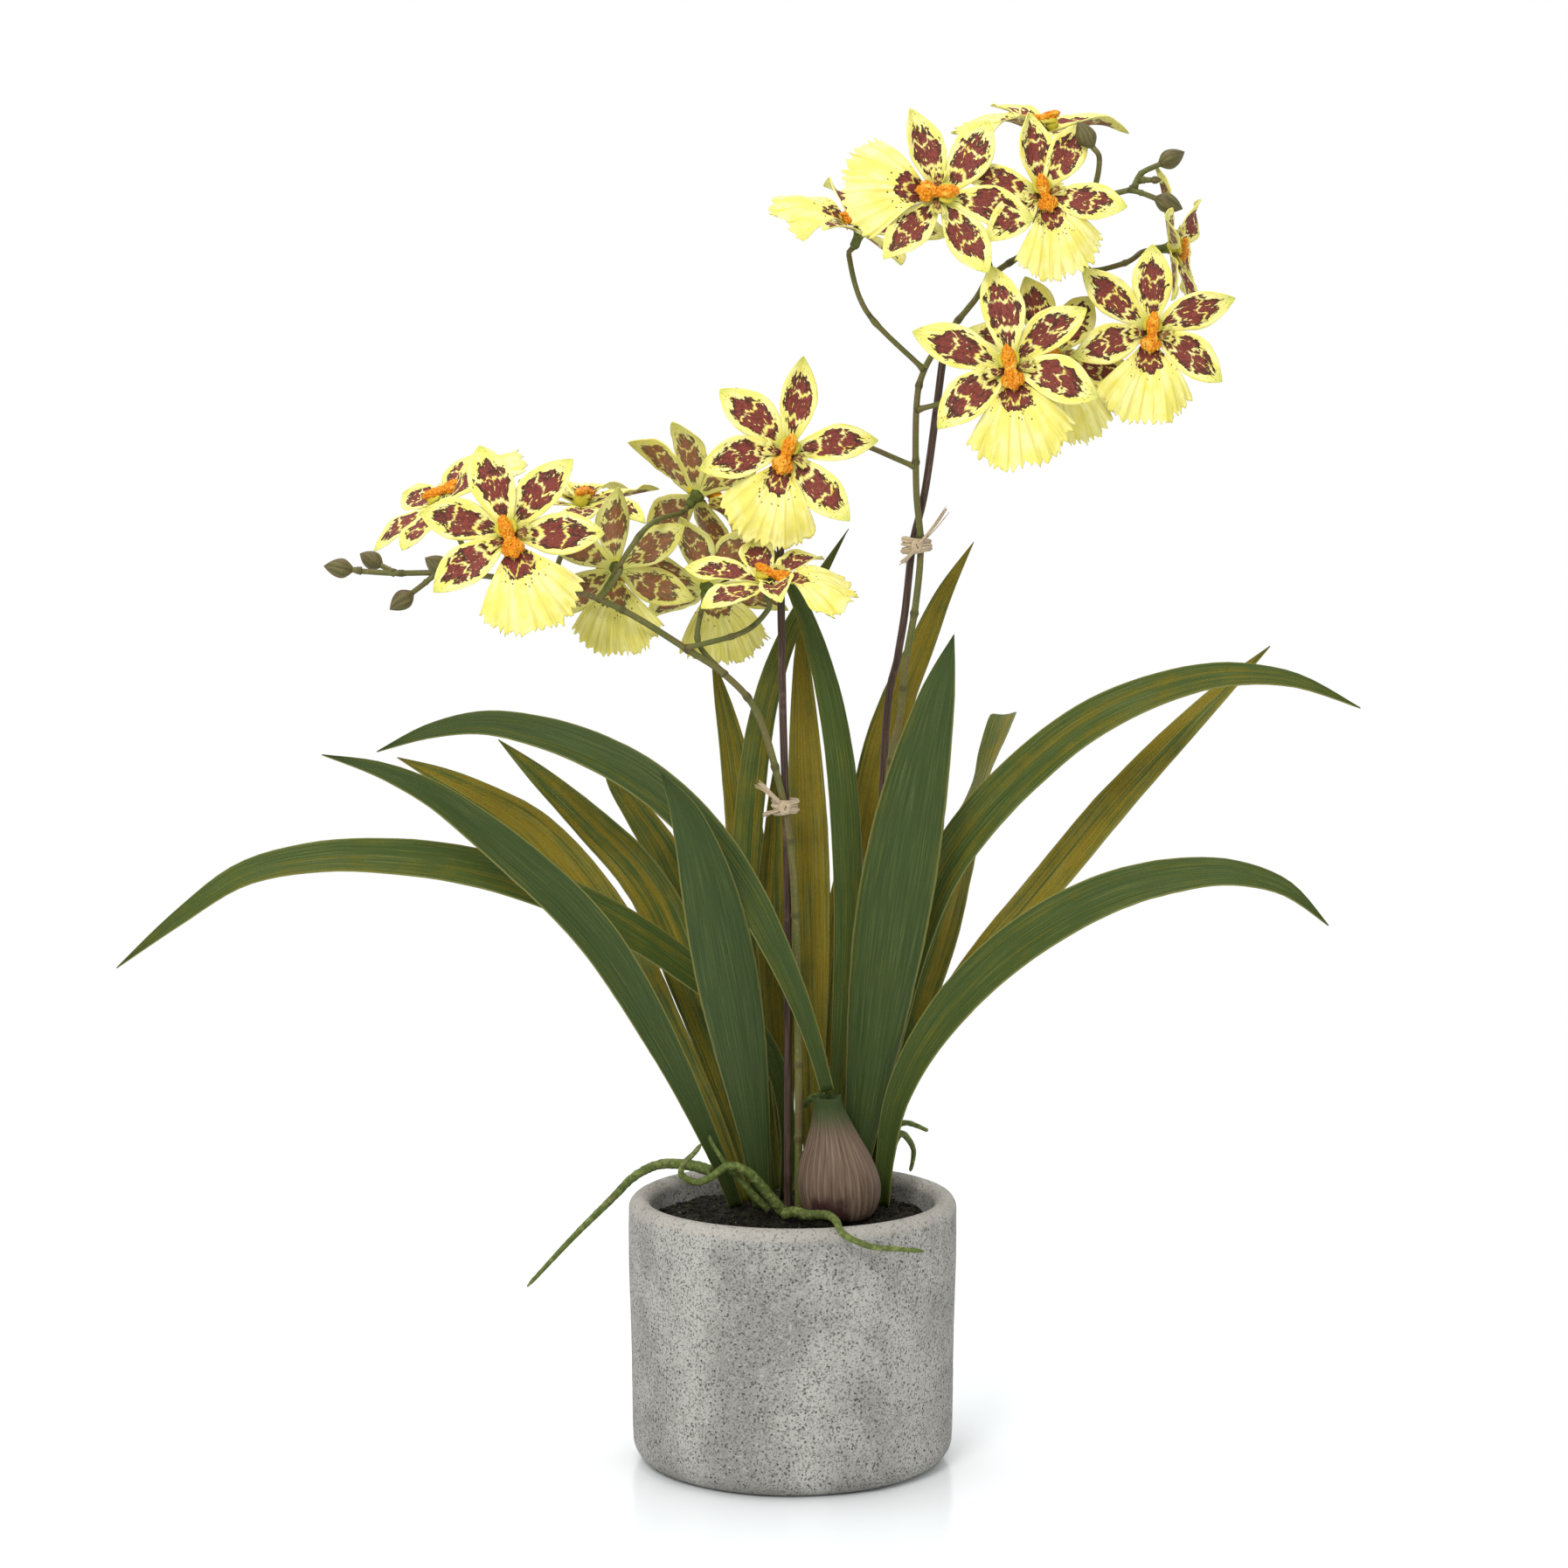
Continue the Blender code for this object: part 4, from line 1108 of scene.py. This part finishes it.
def blotchOn(paint, spot, base, low, high, across, back):
    # a ragged maroon patch broken by bars, with small spots beyond it
    along = paint.part(spot, "X")
    side = paint.part(spot, "Y")
    flow = paint.stretch(spot, (3.2, 1.4, 3.7))
    rag = paint.grain(flow, 1.6, 3, 0.6) - 0.5
    fine = paint.grain(paint.stretch(spot, (13, 7, 3.7)), 1, 3, 0.7) - 0.5
    middle = (low + high) / 2
    half = (high - low) / 2
    away = abs((along - middle) / half) ** 2.2 + abs(side / across) ** 2.2
    field = 1 - away + rag * 2.6 + fine * 1.3
    # the bars
    bend = paint.grain(paint.stretch(spot, (0.8, 1.8, 5.1)), 1.4, 2, 0.5) - 0.5
    first = abs(along - (low + 0.27 * (high - low)) + bend * 0.24 + abs(side) * 0.06)
    second = abs(along - (low + 0.62 * (high - low)) + bend * 0.34 - abs(side) * 0.05)
    bars = paint.ease(first + fine * 0.10, 0.008, 0.040) * paint.ease(second + fine * 0.12, 0.0, 0.028)
    gaps = paint.ease(paint.grain(paint.stretch(spot, (9, 5.5, 4.3)), 1, 3, 0.65), 0.345, 0.385)
    mask = paint.ease(field, 0.02, 0.14) * bars * gaps
    inner = paint.ease(field + fine * 0.5, 0.10, 0.75)
    speck = paint.grain(paint.stretch(spot, (34, 12, 7)), 1, 2, 0.6)
    ink = paint.blend(inner, flower["shadow"], flower["maroon"])
    ink = paint.blend(paint.ease(speck + inner * 0.14, 0.54, 0.74) * 0.8, ink, flower["rust"])
    # painted highlight: small pale red flecks inside the blotch
    ink = paint.blend(paint.ease(speck, 0.66, 0.80) * 0.35 * inner, ink, flower["pinkHighlight"])
    shown = paint.blend(mask * (0.86 if back else 0.97), base, ink)
    dots = paint.cells(paint.stretch(spot, (15, 6.5, 9)), 1)
    near = paint.ease(along, high - 0.10, high + 0.06) * paint.ease(along, high + 0.10, high + 0.2, 1, 0)
    shown = paint.blend(paint.ease(dots, 0.16, 0.24, 1, 0) * near * 0.85, shown, flower["maroon"])
    return shown


def petalPaint(back, forLip):
    name = ("lip" if forLip else "petal") + ("Back" if back else "Face")
    paint = Paint(name, {"Specular IOR Level": 0.14})
    spot = paint.place("petalPlace")   # along, across and a seed
    along = paint.part(spot, "X")
    side = paint.part(spot, "Y")
    grain = paint.grain(paint.stretch(spot, (2.2, 22, 3)), 1, 3, 0.6)
    clouds = paint.grain(paint.stretch(spot, (3, 2.4, 5)), 1.3, 3, 0.6)
    weave = paint.grain(paint.solid(), 2400, 2, 0.6)
    base = paint.blend(paint.ease(clouds, 0.36, 0.66), flower["pale"], flower["cream"])
    if forLip:
        pleats = paint.node("ShaderNodeMath", {"operation": "SINE"}, {0: side * 26})
        folds = paint.ease(pleats * 0.18 + grain + clouds * 0.4, 0.70, 1.05) * 0.6
        base = paint.blend(folds, base, flower["fold"])
        base = paint.blend(paint.ease(along, 0.10, 0.50, 1, 0) * 0.6, base, flower["fold"])
    else:
        base = paint.blend(paint.ease(along + clouds * 0.2, 0.92, 1.10) * 0.75, base, flower["tip"])
        base = paint.blend(paint.ease(along, 0.02, 0.22, 1, 0) * 0.6, base, flower["tip"])
        base = paint.blend(paint.ease(grain, 0.50, 0.74) * 0.22, base, flower["fold"])
    if back:
        # painted shade: the backs are blended towards a darker olive
        base = paint.blend(0.40, base, flower["backShade"])
        base = paint.blend(paint.ease(grain, 0.48, 0.66) * 0.45, base, (0.36, 0.35, 0.10))
    if forLip:
        base = blotchOn(paint, spot, base, 0.0, 0.40, 0.95, back)
    else:
        base = blotchOn(paint, spot, base, 0.10, 0.83, 0.78, back)
    paint.colour(base)
    paint.rough(paint.ease(weave, 0.3, 0.7, 0.55, 0.75))
    paint.relief(grain * 0.7 + weave * 0.3, 0.25 * mm, 0.7)
    return paint


def heartPaint():
    paint = Paint("column", {"Specular IOR Level": 0.2})
    here = paint.solid()
    lumps = paint.cells(here, 900)
    soft = paint.grain(here, 260, 3, 0.6)
    base = paint.blend(paint.ease(lumps, 0.15, 0.7), flower["orange"], flower["deepOrange"])
    # painted highlight: paler orange patches on the column
    base = paint.blend(paint.ease(soft, 0.52, 0.66) * 0.6, base, (0.95, 0.62, 0.10))
    dots = paint.cells(here, 700)
    dotted = paint.ease(dots, 0.12, 0.2, 1, 0) * paint.ease(soft, 0.50, 0.40) * 0.8
    base = paint.blend(dotted, base, (0.35, 0.03, 0.01))
    paint.colour(base)
    paint.rough(paint.ease(soft, 0.3, 0.7, 0.5, 0.7))
    paint.relief(soft - lumps, 0.9 * mm, 1.0)
    return paint


def plainPaint(name, first, second, scale):
    paint = Paint(name, {"Specular IOR Level": 0.15})
    noiseHere = paint.grain(paint.solid(), scale, 3, 0.6)
    paint.colour(paint.blend(paint.ease(noiseHere, 0.38, 0.64), first, second))
    paint.rough(paint.ease(noiseHere, 0.3, 0.7, 0.5, 0.7))
    paint.relief(noiseHere, 0.3 * mm, 0.8)
    return paint


def petalOutline(share):
    rise = 0.26 + 0.74 * math.sin(math.pi / 2 * min(1, share / 0.54)) ** 1.3
    fall = 1.0 if share < 0.54 else math.cos(math.pi / 2 * (share - 0.54) / 0.46) ** 0.82
    return rise * fall


def addPetal(heap, angle, size, cup, dice, seed):
    out = Vector((math.cos(angle), math.sin(angle), 0))
    side = Vector((-math.sin(angle), math.cos(angle), 0))
    length = flower["petalLength"] * size * dice.uniform(0.96, 1.05)
    half = flower["petalWidth"] / 2 * size * dice.uniform(0.94, 1.06)
    twist = dice.uniform(-0.8, 0.8)
    bow = dice.uniform(-0.12, 0.12)
    droop = dice.uniform(-1.6, 3.4) * mm
    crimp = dice.uniform(0.05, 0.42)
    rows = []
    places = []
    middleColumn = flower["petalColumns"] // 2
    for k in range(flower["petalRows"]):
        share = k / (flower["petalRows"] - 1)
        reach = 2.0 * mm * size + (length - 2.0 * mm * size) * share
        wide = half * max(petalOutline(share), 0.012)
        rise = cup * math.sin(math.pi / 2 * min(1, share / 0.84)) - droop * max(0, share - 0.55) ** 1.5 * 4
        turn = twist * share ** 1.5
        row = []
        placeRow = []
        for column in range(-middleColumn, middleColumn + 1):
            c = column / middleColumn
            edge = 1 + 0.035 * wobble(share * 6, seed, c * 2) if abs(c) > 0.9 else 1
            across = c * wide * edge
            lift = crimp * wide * abs(c) ** 1.4 + 1.5 * mm * abs(c) ** 2 * math.sin(math.pi * share) * (
                wobble(share * 3.4, seed + (3 if c > 0 else 0)) + 0.4 * wobble(share * 9, seed, c))
            crease = -0.35 * mm * math.exp(-(c * 6) ** 2) * math.sin(math.pi * share)
            lifted = lift + crease
            row.append(out * reach + side * (across * math.cos(turn) - lifted * math.sin(turn)
                                             + bow * length * share ** 2)
                       + Vector((0, 0, rise + lifted * math.cos(turn) + across * math.sin(turn))))
            placeRow.append((share, c, seed))
        rows.append(row)
        places.append(placeRow)
    heap.grid(rows, places, paint=0)


def addLip(heap, size, dice, seed):
    length = flower["lipLength"] * size
    waist = 5.5 * mm * size
    half = flower["lipColumns"] // 2
    rows = []
    places = []
    phase = dice.uniform(0, 6)
    tilt = dice.uniform(-0.05, 0.05)
    for k in range(flower["lipRows"]):
        share = k / (flower["lipRows"] - 1)
        fan = math.sin(math.pi / 2 * share ** 0.75)
        row = []
        placeRow = []
        for column in range(-half, half + 1):
            c = column / half
            angle = c * (0.34 + 0.34 * fan)
            tooth = 0.0
            if share > flower["teeth"]:
                saw = abs((c * 7.5 + phase + 0.9 * wobble(c * 6, seed)) % 1 - 0.5) * 2
                fineSaw = abs((c * 19 + phase) % 1 - 0.5) * 2
                grown = (share - flower["teeth"]) / (1 - flower["teeth"])
                tooth = grown * (saw * 3.4 + fineSaw * 0.9 - 2.2) * mm * (0.85 + 0.7 * wobble(c * 5, seed, 4))
            notch = 0.16 * c * c + 0.05 * math.exp(-(c * 5) ** 2)
            reach = (length - waist) * share * (1 - notch) + tooth * size
            wide = 2.6 * mm * size * c
            down = waist + reach * math.cos(angle) - 2.4 * mm * size * c * c * fan
            across = wide + reach * math.sin(angle) * 0.98
            arch = 5 * mm * size * math.sin(math.pi * min(1, share / 0.93)) * 0.75 - 2.4 * mm * share ** 3
            fold = share ** 1.4 * (0.55 * mm * math.sin(c * 26 + 2.5 * wobble(c * 3, share * 2, seed))
                                   + 2.3 * mm * math.sin(c * 6.5 + phase) * share
                                   + 2.2 * mm * wobble(c * 2.5, share * 2, seed + 5))
            sides = 2.2 * mm * c * c * math.sin(math.pi * share) * size
            row.append(Vector((across + tilt * down, -down, arch + fold * 0.8 * size + sides)))
            placeRow.append((share, c, seed))
        rows.append(row)
        places.append(placeRow)
    heap.grid(rows, places, paint=2)


def addSideLobe(heap, way, size, seed):
    # a small frilled ear beside the column
    rows = []
    places = []
    for k in range(9):
        share = k / 8
        row = []
        placeRow = []
        for column in range(-6, 7):
            c = column / 6
            reach = (2.5 + 6.0 * share * (1 + 0.12 * math.sin(c * 11 + seed))) * mm * size
            wide = (1.3 + 2.6 * share) * mm * size * c
            rise = (2.2 + 2.6 * share) * mm * size + 0.5 * mm * math.sin(c * 8) * share
            row.append(Vector((way * reach, -2.0 * mm * size + wide * 0.9, rise)))
            placeRow.append((0.16 + 0.3 * share, c, seed))
        rows.append(row)
        places.append(placeRow)
    heap.grid(rows, places, paint=2)


def lumpy(heap, centre, sizes, turn, bumps, seed, paint, sides=22, rings=16):
    # a knobbly egg with its three half sizes
    rows = []
    for k in range(rings):
        fall = math.pi * (0.02 + 0.96 * k / (rings - 1))
        row = []
        for i in range(sides):
            angle = math.tau * i / sides
            way = Vector((math.sin(fall) * math.cos(angle), math.sin(fall) * math.sin(angle), math.cos(fall)))
            knob = 1 + bumps * (wobble(way.x * 2.4 + seed, way.y * 2.4, way.z * 2.4)
                                + 0.5 * wobble(way.x * 7, way.y * 7 + seed, way.z * 7))
            row.append(centre + turn @ Vector((way.x * sizes[0], way.y * sizes[1], way.z * sizes[2])) * knob)
        rows.append(row)
    start = heap.grid(rows, [[(0, 0, seed)] * sides] * rings, wrap=True, paint=paint)
    heap.cap(range(start, start + sides), paint)
    last = start + sides * (rings - 1)
    heap.cap(range(last + sides - 1, last - 1, -1), paint)


def makeFlower(name, petals, hearts):
    centre, facing, lipWay, size, *_ = flowerPlaces[name]
    matrix = flowerFrame(centre, facing, lipWay)
    dice = random.Random(name)
    seed = dice.uniform(0, 40)
    heap = Heap()
    for k in range(1, 6):
        angle = math.radians(-90 + 60 * k + dice.uniform(-8, 8))
        cup = (5.5 if k % 2 else 2) * mm * dice.uniform(0.3, 1.7)
        addPetal(heap, angle, size, cup, dice, seed + k * 2.3)
    addLip(heap, size, dice, seed)
    for way in (-1, 1):
        addSideLobe(heap, way, size, seed + way)
    points = [matrix @ point for point in heap.points]
    piece = newPiece(name + "_petals", points, heap.faces, petals, [name],
                     {"petalPlace": heap.places}, heap.paintOf)
    thicken(piece, flower["thickness"])
    heart = Heap()
    straight = Matrix.Identity(3)
    grain = mm * size
    leaning = Matrix.Rotation(math.radians(dice.uniform(12, 30)), 3, "X")
    # the tongue, the lumps below it, the wings and the hood
    lumpy(heart, Vector((0, 0.6, 5.8)) * grain, (2.5 * grain, 5.4 * grain, 2.0 * grain), leaning, 0.16,
          seed, 0, 40, 30)
    lumpy(heart, Vector((0, -5.8, 4.6)) * grain, (2.6 * grain, 4.4 * grain, 1.9 * grain), straight, 0.26,
          seed + 3, 0, 40, 30)
    for way in (-1, 1):
        lumpy(heart, Vector((way * 2.4, -6.4, 3.8)) * grain, (1.8 * grain, 2.4 * grain, 1.5 * grain),
              straight, 0.3, seed + 5 + way, 0, 24, 18)
        lumpy(heart, Vector((way * 2.5, 1.4, 4.2)) * grain, (1.5 * grain, 2.6 * grain, 0.9 * grain),
              straight, 0.25, seed + 8 + way, 1, 24, 18)
    lumpy(heart, Vector((0, 2.6, 3.0)) * grain, (3.2 * grain, 2.6 * grain, 3.6 * grain), straight, 0.12,
          seed + 7, 1)
    core = [Vector((0, 0, z)) * mm * size for z in (-7.2, -6.4, -6.0, -3.4, -1.6, 0.0, 1.4)]
    girths = [1.5, 1.9, 2.0, 1.9, 2.2, 3.1, 2.8]

    def girth(share, reach, turn):
        at = share * (len(girths) - 1)
        i = min(int(at), len(girths) - 2)
        return (girths[i] + (girths[i + 1] - girths[i]) * (at - i)) * mm * size

    sweep(heart, core, girth, 24, paint=2)
    points = [matrix @ point for point in heart.points]
    newPiece(name + "_heart", points, heart.faces, hearts, [name], None, heart.paintOf)


petalPaints = [petalPaint(back, forLip) for forLip in (False, True) for back in (False, True)]
heartPaints = [heartPaint(), plainPaint("hood", flower["hood"], flower["fold"], 500),
               plainPaint("socket", flower["socket"], (0.11, 0.13, 0.03), 300)]
for name in flowerPlaces:
    makeFlower(name, petalPaints, heartPaints)
print("flowers made")

# room
room = {
    "floorBack": 0.624,
    "floorFront": -5.0,
    "floorWide": 5.0,
    "pale": (0.88, 0.90, 0.91),
    "floor": (0.84, 0.875, 0.89),
    "aim": (0, 0, 0.3),
    # the place, the size, the power and the colour
    "lamps": {
        "keyLamp": ((-0.5, -1.5, 1.3), 0.6, 17, (1, 0.98, 0.95)),
        "topLamp": ((-0.2, 0.2, 1.9), 0.7, 11, (0.97, 0.98, 1)),
    },
    "eye": (-0.0035, -1.6, 0.459),
    "eyeTilt": 6.39,        # degrees down
    "lens": 91,
    "sensor": 36,
}


def makeFloor():
    paint = Paint("floorPaint", {"Specular IOR Level": 0.5})
    cloudy = paint.grain(paint.solid(), 2, 2, 0.5)
    paint.colour(paint.blend(cloudy, room["pale"], room["floor"]))
    paint.rough(paint.ease(cloudy, 0.3, 0.7, 0.16, 0.2))
    mesh = bpy.data.meshes.new("floor")
    wide, near, back = room["floorWide"], room["floorFront"], room["floorBack"]
    corners = [(-wide, near, 0), (wide, near, 0), (wide, back, 0), (-wide, back, 0)]
    mesh.from_pydata(corners, [], [(0, 1, 2, 3)])
    mesh.materials.append(paint.material)
    floor = bpy.data.objects.new("floor", mesh)
    bpy.context.scene.collection.objects.link(floor)


def makeLamp(name, place, aim, size, power, colour):
    lamp = bpy.data.lights.new(name, "AREA")
    lamp.shape = "DISK"
    lamp.size = size
    lamp.energy = power
    lamp.color = colour
    item = bpy.data.objects.new(name, lamp)
    item.location = place
    item.rotation_euler = (Vector(aim) - Vector(place)).to_track_quat("-Z", "Y").to_euler()
    bpy.context.scene.collection.objects.link(item)


makeFloor()
for name, (place, size, power, colour) in room["lamps"].items():
    makeLamp(name, place, room["aim"], size, power, colour)
world = bpy.data.worlds.new("room")
world.use_nodes = True
world.node_tree.nodes["Background"].inputs["Color"].default_value = (1, 1, 1, 1)
world.node_tree.nodes["Background"].inputs["Strength"].default_value = 1.0
bpy.context.scene.world = world
bpy.context.scene.view_settings.view_transform = "Standard"

# camera
lens = bpy.data.cameras.new("camera")
lens.lens = room["lens"]
lens.sensor_width = room["sensor"]
camera = bpy.data.objects.new("camera", lens)
camera.location = room["eye"]
camera.rotation_euler = (math.radians(90 - room["eyeTilt"]), 0, 0)
bpy.context.scene.collection.objects.link(camera)
bpy.context.scene.camera = camera
print("room made")
